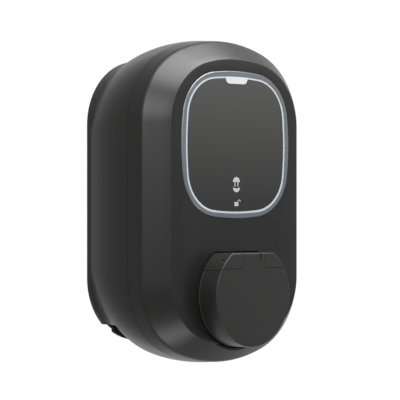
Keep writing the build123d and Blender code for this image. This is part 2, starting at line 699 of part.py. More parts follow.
def led_board():
    """The board behind the panel, with a row of lamps under the bright line."""
    front = FRONT_Y + RING_SEAT_DEPTH + PAD_THICKNESS
    board = prism(RING.inset(-LED_BOARD_OVERHANG).face(front, PANEL_Z), front + BOARD_THICKNESS)
    half_width, half_height = RING_HALF_WIDTH - LED_INSET, RING_HALF_HEIGHT - LED_INSET
    for index in range(LED_COUNT):
        angle = 2 * math.pi * (index + 0.5) / LED_COUNT
        c, s = math.cos(angle), math.sin(angle)
        power = 2 / RING_POWER
        x = half_width * math.copysign(abs(c) ** power, c)
        z = PANEL_Z + half_height * math.copysign(abs(s) ** power, s)
        half = LED_SIZE / 2
        board = board + block((x - half, x + half), (front - LED_SIZE / 2, front), (z - half, z + half))
    for x, z in board_screw_places():
        board = board - rod_y(SMALL_SCREW_RADIUS + SCREW_GAP, x, z, front, front + BOARD_THICKNESS)
    return board


def light_board_screws():
    seat = FRONT_Y + RING_SEAT_DEPTH + PAD_THICKNESS + BOARD_THICKNESS
    length = BOARD_THICKNESS + PAD_SCREW_DEPTH - PANEL_GAP
    return [screw_y(x, z, seat, length, SMALL_SCREW_RADIUS) for x, z in board_screw_places()]


def flap_envelope():
    """The full round-cornered cap of flap and hinge ears together."""
    cap = loft(
        [
            Face(Wire.make_circle(FLAP_RADIUS, Plane(point(0, FLAP_FACE_Y, FLAP_Z), z_dir=(0, 1, 0)))),
            Face(Wire.make_circle(FLAP_FOOT_RADIUS, Plane(point(0, FRONT_Y, FLAP_Z), z_dir=(0, 1, 0)))),
        ]
    )
    cap = cap - block((-FAR, FAR), (-FAR, FAR), (FLAP_Z + FLAP_TOP, FAR))
    front = [edge for edge in cap.edges() if abs(edge.center().Y - FLAP_FACE_Y) < 0.01]
    return fillet(front, FLAP_ROUNDING)


def hinge_zone(radius, x_start, x_end):
    """A round bar about the hinge pin."""
    return rod_x(radius, PIN_Y, PIN_Z, x_start, x_end)


def ear_section():
    """The ears' form across the whole width: round under the pin at the front, flat behind it."""
    behind = block((-FAR, FAR), (PIN_Y, FRONT_Y), (PIN_Z - EAR_RADIUS, PIN_Z + EAR_TOP))
    front_half = block((-FAR, FAR), (FLAP_FACE_Y, PIN_Y + 1), (-FAR, PIN_Z + EAR_TOP))
    return behind + (hinge_zone(EAR_RADIUS, -FAR, FAR) & front_half)


def collar_dee(y):
    """The outer form that the cover's collar, its seal and the base's lip share."""
    step = SEAT_GAP + COLLAR_WALL
    return dee(PEDESTAL_RADIUS + step, FLAP_TOP + step, FLAP_Z, y)


def hinge_base():
    """The socket's front pedestal and the two fixed ears of the hinge, moulded in one."""
    base = prism(dee(PEDESTAL_RADIUS, FLAP_TOP, FLAP_Z, FRONT_Y), LIP_FRONT_Y)
    base = base + prism(collar_dee(LIP_FRONT_Y), LIP_BACK_Y)
    for x, z in corners(SCREW_SEAT_X, SCREW_SEAT_Z, FLAP_Z):
        base = base + rod_y(SCREW_SEAT_RADIUS, x, z, LIP_FRONT_Y, LIP_BACK_Y)
    ears = flap_envelope() & ear_section()
    gap_left, gap_right = TONGUE_LEFT - HINGE_GAP, TONGUE_RIGHT + HINGE_GAP
    knuckle_room = hinge_zone(POCKET_RADIUS, gap_left, gap_right)
    open_front = block((gap_left, gap_right), (-FAR, PIN_Y), (PIN_Z - EAR_RADIUS - 1, FAR))
    pocket_y = PIN_Y + math.sqrt(POCKET_RADIUS**2 - EAR_TOP**2)
    under = block((gap_left, gap_right), (-FAR, pocket_y), (-FAR, PIN_Z))
    ears = ears - knuckle_room - open_front - under
    base = base + ears
    for x, z in corners(SCREW_SEAT_X, SCREW_SEAT_Z, FLAP_Z):
        base = base - rod_y(SMALL_SCREW_RADIUS + SCREW_GAP, x, z, LIP_FRONT_Y, LIP_BACK_Y)
    step = SOCKET_WALL + SOCKET_CLEARANCE
    base = base - prism(dee(RECESS_RADIUS + step, RECESS_TOP + step, SOCKET_Z, FRONT_Y), LIP_BACK_Y)
    base = base - hinge_zone(PIN_RADIUS, -FAR, pin_end())
    leg_z = PIN_Z + SPRING_MEAN_RADIUS
    return base - rod_y(SPRING_WIRE + SPRING_HOLE_GAP, SPRING_LEG_X, leg_z, PIN_Y, spring_leg_end() + SPRING_WIRE)


def pin_start():
    """X of the pin's left end, a little inside the left ear."""
    return -math.sqrt(FLAP_RADIUS**2 - PIN_ABOVE**2) + PIN_RECESS


def pin_end():
    """X of the pin's right end, inside the right ear."""
    return TONGUE_RIGHT + HINGE_GAP + PIN_RIGHT_GRIP


def hinge_pin():
    """The steel pin, held in both ears."""
    return hinge_zone(PIN_RADIUS, pin_start(), pin_end())


def spring_leg_end():
    """Depth at which the spring's fixed leg ends, inside the base."""
    return PIN_Y + SPRING_LEG_REACH


def flap_spring():
    """The closing spring: a coil on the pin, one leg down behind the flap and one back into the base."""
    coil_length = SPRING_TURNS * SPRING_PITCH
    coil = Helix(SPRING_PITCH, coil_length, SPRING_MEAN_RADIUS, lefthand=True)
    low_leg = Edge.make_line(coil @ 0 + Vector(0, SPRING_LEG_DROP, 0), coil @ 0)
    top_leg = Edge.make_line(coil @ 1, coil @ 1 - Vector(SPRING_LEG_REACH, 0, 0))
    wire = Wire([low_leg, coil.edge(), top_leg])
    section = Plane(origin=wire @ 0, z_dir=wire % 0) * RegularPolygon(SPRING_WIRE, 6)
    spring = sweep(section, path=wire, transition=Transition.TRANSFORMED)
    along_pin = Plane(origin=(SPRING_LEG_X - coil_length, PIN_Y, PIN_Z), x_dir=(0, -1, 0), z_dir=(1, 0, 0))
    return spring.moved(along_pin.location)


def flap():
    """The hinged cap: face, rim wall, ceiling under the ears, and the tongue that turns on the pin."""
    envelope = flap_envelope()
    rim_y = FRONT_Y - FLAP_SEAL_GAP - FLAP_SEAL
    body = envelope & block((-FAR, FAR), (-FAR, rim_y), (-FAR, FAR))
    body = body - hinge_zone(SWING_RADIUS, -FAR, FAR)
    body = body - block((-FAR, FAR), (PIN_Y, FAR), (PIN_Z - SWING_RADIUS, FAR))
    body = body - block((-FAR, FAR), (-FAR, FAR), (PIN_Z, FAR))
    ceiling = PIN_ABOVE - SWING_RADIUS - FLAP_WALL
    inner_y = FLAP_FACE_Y + FLAP_FACE
    body = body - prism(dee(FLAP_RADIUS - FLAP_WALL, ceiling, FLAP_Z, inner_y), 0)
    return body + tongue(envelope)


def tongue(envelope):
    """The flap's knuckles between the ears, hollow in the middle for the spring."""
    knuckle = envelope & hinge_zone(TONGUE_RADIUS, TONGUE_LEFT, TONGUE_RIGHT)
    neck_back = PIN_Y - PIN_BEHIND + FLAP_FACE
    neck = envelope & block((TONGUE_LEFT, TONGUE_RIGHT), (-FAR, neck_back), (PIN_Z - SWING_RADIUS - 1.5, PIN_Z))
    knuckle = knuckle + neck - hinge_zone(PIN_RADIUS + PIN_RUNNING_GAP, -FAR, FAR)
    room_right = SPRING_LEG_X + SPRING_LEG_SLOT / 2
    room = hinge_zone(SPRING_ROOM_RADIUS, SPRING_ROOM_LEFT, room_right)
    below = block(
        (SPRING_ROOM_LEFT, room_right),
        (PIN_Y - SPRING_ROOM_RADIUS, PIN_Y + TONGUE_RADIUS),
        (PIN_Z - EAR_RADIUS, PIN_Z + SPRING_ROOM_RADIUS),
    )
    slot_x = (SPRING_LEG_X - SPRING_LEG_SLOT / 2, room_right)
    slot_top = PIN_Z + EAR_TOP + 1
    slot = block(slot_x, (-FAR, FAR), (PIN_Z + SPRING_SLOT_LOW, slot_top))
    inner_y = PIN_Y - (SPRING_ROOM_RADIUS + PIN_BEHIND) / 2
    inner_slot = block(slot_x, (inner_y, PIN_Y), (PIN_Z - SPRING_SLOT_LOW, slot_top))
    return knuckle - room - below - slot - inner_slot


def flap_seal():
    """The rubber strip on the rim of the flap's wall and ceiling."""
    back = FRONT_Y - FLAP_SEAL_GAP
    front = back - FLAP_SEAL
    ceiling = PIN_ABOVE - SWING_RADIUS
    inner = dee(FLAP_RADIUS - FLAP_WALL + SEAL_TRIM, ceiling - FLAP_WALL + SEAL_TRIM, FLAP_Z, front)
    outer = dee(FLAP_FOOT_RADIUS - 2 * SEAL_TRIM, ceiling - SEAL_TRIM, FLAP_Z, front)
    return prism(outer, back) - prism(inner, back)


def socket_seal():
    """The flat seal between the cover's collar and the base."""
    front = LIP_FRONT_Y - SEAL_THICKNESS
    ring = prism(collar_dee(front), LIP_FRONT_Y)
    for x, z in corners(SCREW_SEAT_X, SCREW_SEAT_Z, FLAP_Z):
        ring = ring - rod_y(SCREW_SEAT_RADIUS + PANEL_GAP, x, z, front, LIP_FRONT_Y)
    return ring - prism(dee(PEDESTAL_RADIUS + PANEL_GAP, FLAP_TOP + PANEL_GAP, FLAP_Z, front), LIP_FRONT_Y)


def contact_places():
    """The five power contacts: one in the middle, two level with it and two below."""
    angles = (0.0, math.pi, -math.pi / 3, -2 * math.pi / 3)
    around = [(CONTACT_CIRCLE * math.cos(a), SOCKET_Z + CONTACT_CIRCLE * math.sin(a)) for a in angles]
    return [(0.0, SOCKET_Z)] + around


def pilot_places():
    """The two small signal contacts near the flat top."""
    return [(-PILOT_X, SOCKET_Z + PILOT_Z), (PILOT_X, SOCKET_Z + PILOT_Z)]


def socket_housing():
    """The deep socket shell: a flat-topped round well, its floor, a flange and the lock pin's hole."""
    outer = dee(RECESS_RADIUS + SOCKET_WALL, RECESS_TOP + SOCKET_WALL, SOCKET_Z, FRONT_Y)
    shell = prism(outer, SOCKET_BACK_Y)
    flange = prism(collar_dee(LIP_BACK_Y), LIP_BACK_Y + LIP_THICKNESS)
    for x, z in corners(SCREW_SEAT_X, SCREW_SEAT_Z, FLAP_Z):
        flange = flange + rod_y(SCREW_SEAT_RADIUS, x, z, LIP_BACK_Y, LIP_BACK_Y + LIP_THICKNESS)
    shell = shell + flange
    shell = shell - prism(dee(RECESS_RADIUS, RECESS_TOP, SOCKET_Z, FRONT_Y), RECESS_FLOOR_Y)
    for x, z in corners(SCREW_SEAT_X, SCREW_SEAT_Z, FLAP_Z):
        shell = shell - rod_y(SMALL_SCREW_RADIUS + SCREW_GAP, x, z, LIP_BACK_Y, LIP_BACK_Y + LIP_THICKNESS)
    for places, radius in ((contact_places(), POWER_CONTACT_RADIUS), (pilot_places(), PILOT_CONTACT_RADIUS)):
        for x, z in places:
            shell = shell - rod_y(radius + CONTACT_GAP, x, z, RECESS_FLOOR_Y, SOCKET_BACK_Y)
    wall_low = SOCKET_Z + RECESS_TOP
    lock_y = FRONT_Y + LOCK_DEPTH
    return shell - rod_z(LOCK_PIN_RADIUS + LOCK_HOLE_GAP, 0, lock_y, wall_low - 1, wall_low + SOCKET_WALL + 1)


def socket_screws():
    seat = LIP_BACK_Y + LIP_THICKNESS
    length = 2 * LIP_THICKNESS + COLLAR_DEPTH / 2
    return [
        screw_y(x, z, seat, length, SMALL_SCREW_RADIUS) for x, z in corners(SCREW_SEAT_X, SCREW_SEAT_Z, FLAP_Z)
    ]


def contact_block():
    """The flat-topped insulator with a bore for each contact."""
    face_y = FRONT_Y + BLOCK_RECESS
    insulator = prism(dee(BLOCK_RADIUS, BLOCK_TOP, SOCKET_Z, face_y), RECESS_FLOOR_Y)
    rim = [edge for edge in insulator.edges() if abs(edge.center().Y - face_y) < 0.01]
    insulator = chamfer(rim, BLOCK_CHAMFER)
    bores = [(x, z, POWER_BORE_RADIUS, POWER_CONTACT_RADIUS) for x, z in contact_places()]
    bores += [(x, z, PILOT_BORE_RADIUS, PILOT_CONTACT_RADIUS) for x, z in pilot_places()]
    for x, z, bore, contact in bores:
        mouth = face_y + CONTACT_RECESS
        insulator = insulator - rod_y(bore + CONTACT_GAP, x, z, face_y, mouth)
        insulator = insulator - rod_y(contact + CONTACT_GAP, x, z, mouth, RECESS_FLOOR_Y)
    return insulator


def contact_tube(x, z, radius, bore):
    """A turned contact: a tube for the pin, a shoulder behind the floor and a solder tail."""
    mouth = FRONT_Y + BLOCK_RECESS + CONTACT_RECESS
    tube = rod_y(radius, x, z, mouth, SOCKET_BACK_Y)
    shoulder_end = SOCKET_BACK_Y + CONTACT_SHOULDER
    shoulder = rod_y(radius + CONTACT_SHOULDER_STEP, x, z, SOCKET_BACK_Y, shoulder_end)
    tail = rod_y(radius / 2, x, z, shoulder_end, SOCKET_BACK_Y + CONTACT_TAIL)
    return tube + shoulder + tail - rod_y(bore, x, z, mouth, RECESS_FLOOR_Y)


def power_contacts():
    return [contact_tube(x, z, POWER_CONTACT_RADIUS, POWER_BORE_RADIUS) for x, z in contact_places()]


def pilot_contacts():
    return [contact_tube(x, z, PILOT_CONTACT_RADIUS, PILOT_BORE_RADIUS) for x, z in pilot_places()]


def lock_places():
    """Depth of the lock pin, and the heights of its drawn-back tip and of its top."""
    tip = SOCKET_Z + RECESS_TOP + SOCKET_WALL * 0.1
    return FRONT_Y + LOCK_DEPTH, tip, tip + LOCK_PIN_LENGTH


def lock_actuator():
    """The motor box that stands on the socket's flat top and drives the lock pin."""
    lock_y, _, pin_top = lock_places()
    low = SOCKET_Z + RECESS_TOP + SOCKET_WALL
    y_range = (lock_y - LOCK_FORE, lock_y + LOCK_AFT)
    box = block((-LOCK_HALF_WIDTH, LOCK_HALF_WIDTH), y_range, (low, low + LOCK_HEIGHT))
    box = fillet(box.edges().filter_by(Axis.Z), 1.5)
    top = low + LOCK_HEIGHT
    motor = rod_z(LOCK_FORE, LOCK_HALF_WIDTH - LOCK_FORE - 1, lock_y + LOCK_AFT / 3, top, top + LOCK_CAP_HEIGHT)
    return box + motor - rod_z(LOCK_PIN_RADIUS + LOCK_RUNNING_GAP, 0, lock_y, low, pin_top + 1)


def lock_pin():
    """The steel pin that drops into the plug's notch."""
    lock_y, tip, pin_top = lock_places()
    pin = rod_z(LOCK_PIN_RADIUS, 0, lock_y, tip, pin_top)
    ends = pin.edges().filter_by(GeomType.CIRCLE)
    return chamfer(ends, 0.5)


def board_corners():
    """The four fixing points of the power board."""
    middle = (POWER_BOARD_TOP + POWER_BOARD_LOW) / 2
    half = (POWER_BOARD_TOP - POWER_BOARD_LOW) / 2 - BOARD_HOLE_INSET
    return corners(POWER_BOARD_HALF_WIDTH - BOARD_HOLE_INSET, half, middle)


def upper_board_corners():
    """The fixing points that the control board shares: two pairs of its own height."""
    low, high = CONTROL_BOARD_LOW + BOARD_HOLE_INSET, POWER_BOARD_TOP - BOARD_HOLE_INSET
    x = POWER_BOARD_HALF_WIDTH - BOARD_HOLE_INSET
    return [(side * x, z) for side in (-1, 1) for z in (low, high)]


def board(y, low, top, holes):
    """A printed board with rounded corners and fixing holes; y is its rear face."""
    half = POWER_BOARD_HALF_WIDTH
    plate = block((-half, half), (y - BOARD_THICKNESS, y), (low, top))
    plate = fillet(plate.edges().filter_by(Axis.Y), BOARD_ROUNDING)
    for x, z in holes:
        plate = plate - rod_y(SMALL_SCREW_RADIUS + SCREW_GAP, x, z, y - BOARD_THICKNESS, y)
    return plate


def power_board():
    return board(BOARD_Y, POWER_BOARD_LOW, POWER_BOARD_TOP, board_corners() + upper_board_corners())


def control_board():
    """The upper board with its processor and interface chips."""
    plate = board(CONTROL_Y, CONTROL_BOARD_LOW, POWER_BOARD_TOP, upper_board_corners())
    front = CONTROL_Y - BOARD_THICKNESS
    chips = ((-20, 50, 14, 14), (12, 70, 10, 8), (30, 28, 12, 8), (-34, 84, 8, 6))
    for x, z, width, height in chips:
        depths = (front - CHIP_HEIGHT, front)
        plate = plate + block((x - width / 2, x + width / 2), depths, (z - height / 2, z + height / 2))
    return plate


def radio_module():
    """The radio's metal can on the control board."""
    front = CONTROL_Y - BOARD_THICKNESS
    half_width, half_height = RADIO_WIDTH / 2, RADIO_HEIGHT / 2
    x_range, z_range = (RADIO_X - half_width, RADIO_X + half_width), (RADIO_Z - half_height, RADIO_Z + half_height)
    can = block(x_range, (front - RADIO_DEPTH, front), z_range)
    return fillet(can.faces().sort_by(Axis.Y)[0].edges(), RADIO_DEPTH / 3)


def standoffs():
    """The hexagonal posts between the two boards, each with a stud through the lower board."""
    posts = []
    for x, z in upper_board_corners():
        hexagon = RegularPolygon(STANDOFF_RADIUS, 6).moved(Location((x, BOARD_FRONT_Y, z), (90, 0, 0)))
        post = extrude(hexagon, amount=STANDOFF_LENGTH, dir=(0, -1, 0))
        stud = rod_y(SMALL_SCREW_RADIUS, x, z, BOARD_FRONT_Y, BOARD_FRONT_Y + BOARD_SCREW_LENGTH)
        bore = rod_y(SMALL_SCREW_RADIUS + SCREW_GAP, x, z, CONTROL_Y, CONTROL_Y + BOARD_SCREW_LENGTH)
        posts.append(post + stud - bore)
    return posts


def board_screws():
    """The screws of the power board's lower corners and of the control board."""
    control_seat = CONTROL_Y - BOARD_THICKNESS
    places = [(x, z, BOARD_FRONT_Y) for x, z in board_corners() if z < CONTROL_BOARD_LOW]
    places += [(x, z, control_seat) for x, z in upper_board_corners()]
    return [screw_y(x, z, seat, BOARD_SCREW_LENGTH, SMALL_SCREW_RADIUS, heading=1) for x, z, seat in places]


def relays():
    """The four power relays, side by side on the power board."""
    boxes = []
    for index in range(RELAY_COUNT):
        x = RELAY_X + index * RELAY_PITCH
        box = block(
            (x - RELAY_WIDTH / 2, x + RELAY_WIDTH / 2),
            (BOARD_FRONT_Y - RELAY_DEPTH, BOARD_FRONT_Y),
            (RELAY_Z - RELAY_HEIGHT / 2, RELAY_Z + RELAY_HEIGHT / 2),
        )
        boxes.append(fillet(box.edges().filter_by(Axis.Y), 0.8))
    return boxes


def current_sensor():
    """The ring-shaped fault-current sensor."""
    ring = rod_y(SENSOR_RADIUS, SENSOR_X, SENSOR_Z, BOARD_FRONT_Y - SENSOR_DEPTH, BOARD_FRONT_Y)
    return ring - rod_y(SENSOR_BORE, SENSOR_X, SENSOR_Z, BOARD_FRONT_Y - SENSOR_DEPTH, BOARD_FRONT_Y)


def module(x, z, width, height, depth):
    """A closed module on the power board, with softened front edges."""
    box = block(
        (x - width / 2, x + width / 2), (BOARD_FRONT_Y - depth, BOARD_FRONT_Y), (z - height / 2, z + height / 2)
    )
    return chamfer(box.faces().sort_by(Axis.Y)[0].edges(), 1.0)


def power_supply():
    return module(SUPPLY_X, SUPPLY_Z, SUPPLY_WIDTH, SUPPLY_HEIGHT, SUPPLY_DEPTH)


def meter_module():
    return module(METER_X, METER_Z, METER_WIDTH, METER_HEIGHT, METER_DEPTH)


def terminal_block():
    """The supply terminals on the back panel: a wire mouth below and a screw above for each pole."""
    half = TERMINAL_POLES * TERMINAL_PITCH / 2
    front = PANEL_FRONT_Y - TERMINAL_DEPTH
    low, top = TERMINAL_Z - TERMINAL_HEIGHT / 2, TERMINAL_Z + TERMINAL_HEIGHT / 2
    body = block((-half, half), (front, PANEL_FRONT_Y), (low, top))
    for index in range(TERMINAL_POLES):
        x = -half + TERMINAL_PITCH * (index + 0.5)
        body = body - block(
            (x - TERMINAL_PITCH * 0.32, x + TERMINAL_PITCH * 0.32), (front + 6, front + 14), (low, low + 7)
        )
        body = body - rod_y(TERMINAL_PITCH * 0.28, x, TERMINAL_Z, front, front + 3)
    return body


def wire_run(places, radius, bend):
    """A round insulated wire through a row of points, with bends of one radius."""
    path = FilletPolyline(*[point(*place) for place in places], radius=bend)
    return sweep(Plane(origin=path @ 0, z_dir=path % 0) * Circle(radius), path=path)


def supply_leads():
    """The five wires from the terminals up to the power board."""
    top = TERMINAL_Z + TERMINAL_HEIGHT / 2
    leads = []
    for index in range(TERMINAL_POLES):
        x = (index - (TERMINAL_POLES - 1) / 2) * TERMINAL_PITCH
        route = [
            (x, SUPPLY_LEAD_Y, top),
            (x, SUPPLY_LEAD_Y, SUPPLY_LEAD_TURN_Z),
            (x, POWER_LEAD_Y, SUPPLY_LEAD_TURN_Z),
            (x, POWER_LEAD_Y, LEAD_LANDING_Z),
            (x, BOARD_FRONT_Y, LEAD_LANDING_Z),
        ]
        leads.append(wire_run(route, LEAD_RADIUS, LEAD_BEND))
    return leads


def power_leads():
    """The five wires from the socket's power contacts to the power board."""
    tail_y = SOCKET_BACK_Y + CONTACT_TAIL
    leads = []
    for x, z in contact_places():
        side = math.copysign(1, x)
        if x == 0:
            turns = [(x, z), (x, CENTRE_LEAD_TURN_Z), (CENTRE_LEAD_X, CENTRE_LEAD_TURN_Z)]
        elif z == SOCKET_Z:
            turns = [(x, z), (side * POWER_LEAD_X, z)]
        else:
            turns = [(x, z), (side * (POWER_LEAD_X + POWER_LEAD_SPACING), z)]
        turns.append((turns[-1][0], LEAD_LANDING_Z))
        route = [(x, tail_y, z)] + [(px, POWER_LEAD_Y, pz) for px, pz in turns]
        route.append((turns[-1][0], BOARD_FRONT_Y, LEAD_LANDING_Z))
        leads.append(wire_run(route, LEAD_RADIUS, LEAD_BEND))
    return leads


def signal_leads():
    """The two thin wires from the signal contacts to the power board."""
    tail_y = SOCKET_BACK_Y + CONTACT_TAIL
    leads = []
    for x, z in pilot_places():
        aside = math.copysign(SIGNAL_LEAD_X, x)
        turns = [(x, z), (x, SIGNAL_TURN_Z), (aside, SIGNAL_TURN_Z), (aside, LEAD_LANDING_Z)]
        route = [(x, tail_y, z)] + [(px, SIGNAL_LEAD_Y, pz) for px, pz in turns]
        route.append((aside, BOARD_FRONT_Y, LEAD_LANDING_Z))
        leads.append(wire_run(route, SIGNAL_RADIUS, SIGNAL_BEND))
    return leads


def panel_ribbon():
    """The flat cable between the light board and the control board."""
    back = FRONT_Y + RING_SEAT_DEPTH + PAD_THICKNESS + BOARD_THICKNESS
    front = CONTROL_Y - BOARD_THICKNESS
    middle = (back + front) / 2
    high = RIBBON_Z + RIBBON_RISE
    places = [(back, RIBBON_Z), (middle, RIBBON_Z), (middle, high), (front, high)]
    path = FilletPolyline(*[point(RIBBON_X, y, z) for y, z in places], radius=RIBBON_BEND)
    section = Plane(origin=path @ 0, x_dir=(1, 0, 0), z_dir=path % 0) * Rectangle(RIBBON_WIDTH, RIBBON_THICKNESS)
    return sweep(section, path=path)


PIECES = {
    "rear_housing": rear_housing,
    "wall_plate": wall_plate,
    "locking_screw": locking_screw,
    "supply_grommet": lambda: grommet(SUPPLY_ENTRY_X, SUPPLY_ENTRY_RADIUS),
    "data_grommet": lambda: grommet(DATA_ENTRY_X, DATA_ENTRY_RADIUS),
    "cover_gasket": cover_gasket,
    "front_cover": front_cover,
    "cover_screws": cover_screws,
    "light_ring": light_ring,
    "light_line": light_line,
    "touch_glass": touch_glass,
    "badge_tab": badge_tab,
    "led_board": led_board,
    "light_board_screws": light_board_screws,
    "hinge_base": hinge_base,
    "socket_seal": socket_seal,
    "socket_housing": socket_housing,
    "socket_screws": socket_screws,
    "contact_block": contact_block,
    "power_contacts": power_contacts,
    "pilot_contacts": pilot_contacts,
    "lock_actuator": lock_actuator,
    "lock_pin": lock_pin,
    "flap": flap,
    "flap_seal": flap_seal,
    "hinge_pin": hinge_pin,
    "flap_spring": flap_spring,
    "power_board": power_board,
    "control_board": control_board,
    "standoffs": standoffs,
    "board_screws": board_screws,
    "relays": relays,
    "current_sensor": current_sensor,
    "power_supply": power_supply,
    "meter_module": meter_module,
    "radio_module": radio_module,
    "terminal_block": terminal_block,
    "supply_leads": supply_leads,
    "power_leads": power_leads,
    "signal_leads": signal_leads,
    "panel_ribbon": panel_ribbon,
}

os.makedirs("parts", exist_ok=True)
for name, make in PIECES.items():
    piece = make()
    solids = piece if isinstance(piece, list) else piece.solids()
    solid = solids[0] if len(solids) == 1 else Compound(children=list(solids))
    solid.label = name
    export_step(solid, f"parts/{name}.step")
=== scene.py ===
"""The look of a wall-mounted charging station for electric cars, built around its CAD frame."""
import json
import logging
import math
from dataclasses import astuple, dataclass, field
from enum import Enum
from typing import ClassVar

import bmesh
import bpy
from mathutils import Matrix, Vector

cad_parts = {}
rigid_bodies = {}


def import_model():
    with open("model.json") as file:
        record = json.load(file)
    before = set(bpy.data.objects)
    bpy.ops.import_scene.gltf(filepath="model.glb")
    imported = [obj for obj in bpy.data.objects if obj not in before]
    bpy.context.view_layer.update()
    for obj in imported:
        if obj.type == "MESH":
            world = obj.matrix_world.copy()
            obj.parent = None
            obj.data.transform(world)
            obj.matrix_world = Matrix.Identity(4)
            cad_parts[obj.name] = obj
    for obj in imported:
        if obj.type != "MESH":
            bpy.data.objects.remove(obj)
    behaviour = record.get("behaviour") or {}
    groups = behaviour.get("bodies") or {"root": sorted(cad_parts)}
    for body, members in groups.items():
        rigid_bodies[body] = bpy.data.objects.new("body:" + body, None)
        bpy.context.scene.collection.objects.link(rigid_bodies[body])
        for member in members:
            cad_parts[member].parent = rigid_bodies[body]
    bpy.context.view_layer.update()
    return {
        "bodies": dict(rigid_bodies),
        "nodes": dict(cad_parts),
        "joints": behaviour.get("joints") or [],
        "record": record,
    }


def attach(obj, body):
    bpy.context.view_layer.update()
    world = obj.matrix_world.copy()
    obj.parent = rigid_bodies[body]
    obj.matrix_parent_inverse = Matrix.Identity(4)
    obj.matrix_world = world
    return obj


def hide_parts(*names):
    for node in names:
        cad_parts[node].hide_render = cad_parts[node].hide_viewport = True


LOG = logging.getLogger("charging_station")
MM = 0.001
TOWARDS_VIEWER = Vector((0.0, -1.0, 0.0))
# In millimetres: points of an outline, and of a finished solid, that lie nearer than this are one
MERGE, WELD = 0.001, 0.002
# In degrees: neighbouring faces that turn less than this become one
FLAT_TURN = 0.3
ROD_SIDES = 48
# Shares of the slow tone where a finish's two colours start and stop mixing
TONE_LOW, TONE_HIGH = 0.3, 0.7
Colour = tuple[float, float, float]
Place = tuple[float, float, float]
Edges = list[bmesh.types.BMEdge]
Tree, Node, Socket = bpy.types.NodeTree, bpy.types.Node, bpy.types.NodeSocket
BMesh, Thing = bmesh.types.BMesh, bpy.types.Object


class Body(Enum):
    """The rigid bodies of the frame."""

    STATION = "station"
    FLAP = "flap"
    LOCK_PIN = "lock_pin"


class Seen(Enum):
    """How a finish treats light."""

    SOLID = "solid"
    LIT = "lit"


def mix_numbers(start: float, end: float, share: float) -> float:
    """A number part of the way between two others.

    Args:
        start: The number at share 0.
        end: The number at share 1.
        share: How far along.

    Returns:
        The number between them.
    """
    return start + (end - start) * share


# Shader groups


class ShaderGroup:
    """A shader node group that several finishes share, built once."""

    name = "group"
    scale = "Scale"
    relief = 0.0
    inputs: tuple[tuple[str, float], ...] = ()
    outputs = (("Roughness", "NodeSocketFloat"), ("Normal", "NodeSocketVector"), ("Tone", "NodeSocketFloat"))

    def tree(self) -> Tree:
        """The group's node tree, made on its first use.

        Returns:
            The node tree.
        """
        made = bpy.data.node_groups.get(self.name)
        if made:
            return made
        made = bpy.data.node_groups.new(self.name, "ShaderNodeTree")
        for label, value in self.inputs:
            socket = made.interface.new_socket(label, in_out="INPUT", socket_type="NodeSocketFloat")
            socket.default_value = value
        for label, kind in self.outputs:
            made.interface.new_socket(label, in_out="OUTPUT", socket_type=kind)
        self.fill(made, made.nodes.new("NodeGroupInput"))
        return made

    def fill(self, tree: Tree, source: Node) -> None:
        """Adds the group's own nodes.

        Args:
            tree: The group's node tree.
            source: The node of the group's inputs.
        """
        raise NotImplementedError

    def noise(self, tree: Tree, scale: Socket, vector: Socket, detail: float) -> Socket:
        """Adds a noise texture.

        Args:
            tree: The group's node tree.
            scale: The noise's scale.
            vector: Where the noise is read.
            detail: How many finer layers it has.

        Returns:
            The noise's value.
        """
        texture = tree.nodes.new("ShaderNodeTexNoise")
        texture.inputs["Detail"].default_value = detail
        tree.links.new(vector, texture.inputs["Vector"])
        tree.links.new(scale, texture.inputs["Scale"])
        return texture.outputs["Fac"]

    def surface(self, tree: Tree, source: Node, height: Socket, gloss: Socket, tone: Socket) -> None:
        """Adds the bump and the wandering gloss, and links the group's outputs.

        Args:
            tree: The group's node tree.
            source: The node of the group's inputs.
            height: The value that raises the surface.
            gloss: The value that the roughness wanders with.
            tone: The value that mixes a finish's two colours.
        """
        nodes, links = tree.nodes, tree.links
        sink, bump = nodes.new("NodeGroupOutput"), nodes.new("ShaderNodeBump")
        bump.inputs["Distance"].default_value = self.relief
        spread, rough = nodes.new("ShaderNodeMath"), nodes.new("ShaderNodeMath")
        spread.operation, rough.operation = "MULTIPLY", "ADD"
        links.new(height, bump.inputs["Height"])
        links.new(source.outputs["Depth"], bump.inputs["Strength"])
        links.new(gloss, spread.inputs[0])
        links.new(source.outputs["Spread"], spread.inputs[1])
        links.new(spread.outputs[0], rough.inputs[0])
        links.new(source.outputs["Roughness"], rough.inputs[1])
        links.new(rough.outputs[0], sink.inputs["Roughness"])
        links.new(bump.outputs["Normal"], sink.inputs["Normal"])
        links.new(tone, sink.inputs["Tone"])

    def place(self, tree: Tree, values: dict[str, float]) -> Node:
        """Puts the group into a material.

        Args:
            tree: The material's node tree.
            values: The group's input values in this material.

        Returns:
            The group node.
        """
        node = tree.nodes.new("ShaderNodeGroup")
        node.node_tree = self.tree()
        for label, value in values.items():
            node.inputs[label].default_value = value
        return node


class MouldedGrain(ShaderGroup):
    """Fine spark-eroded grain: a bump of small noise and a roughness that wanders slightly."""

    name = "moulded_grain"
    scale = "Grain"
    relief = 0.00008
    inputs = (("Grain", 1500.0), ("Depth", 0.1), ("Roughness", 0.45), ("Spread", 0.06), ("Cloud", 14.0))

    def fill(self, tree: Tree, source: Node) -> None:
        """Adds noise for the grain and slower noise for the wandering gloss, as in the base class."""
        place = tree.nodes.new("ShaderNodeTexCoord").outputs["Object"]
        grain = self.noise(tree, source.outputs[self.scale], place, 3.0)
        cloud = self.noise(tree, source.outputs["Cloud"], place, 4.0)
        centred = tree.nodes.new("ShaderNodeMath")
        centred.operation = "SUBTRACT"
        centred.inputs[1].default_value = 0.5
        tree.links.new(cloud, centred.inputs[0])
        self.surface(tree, source, grain, centred.outputs[0], cloud)


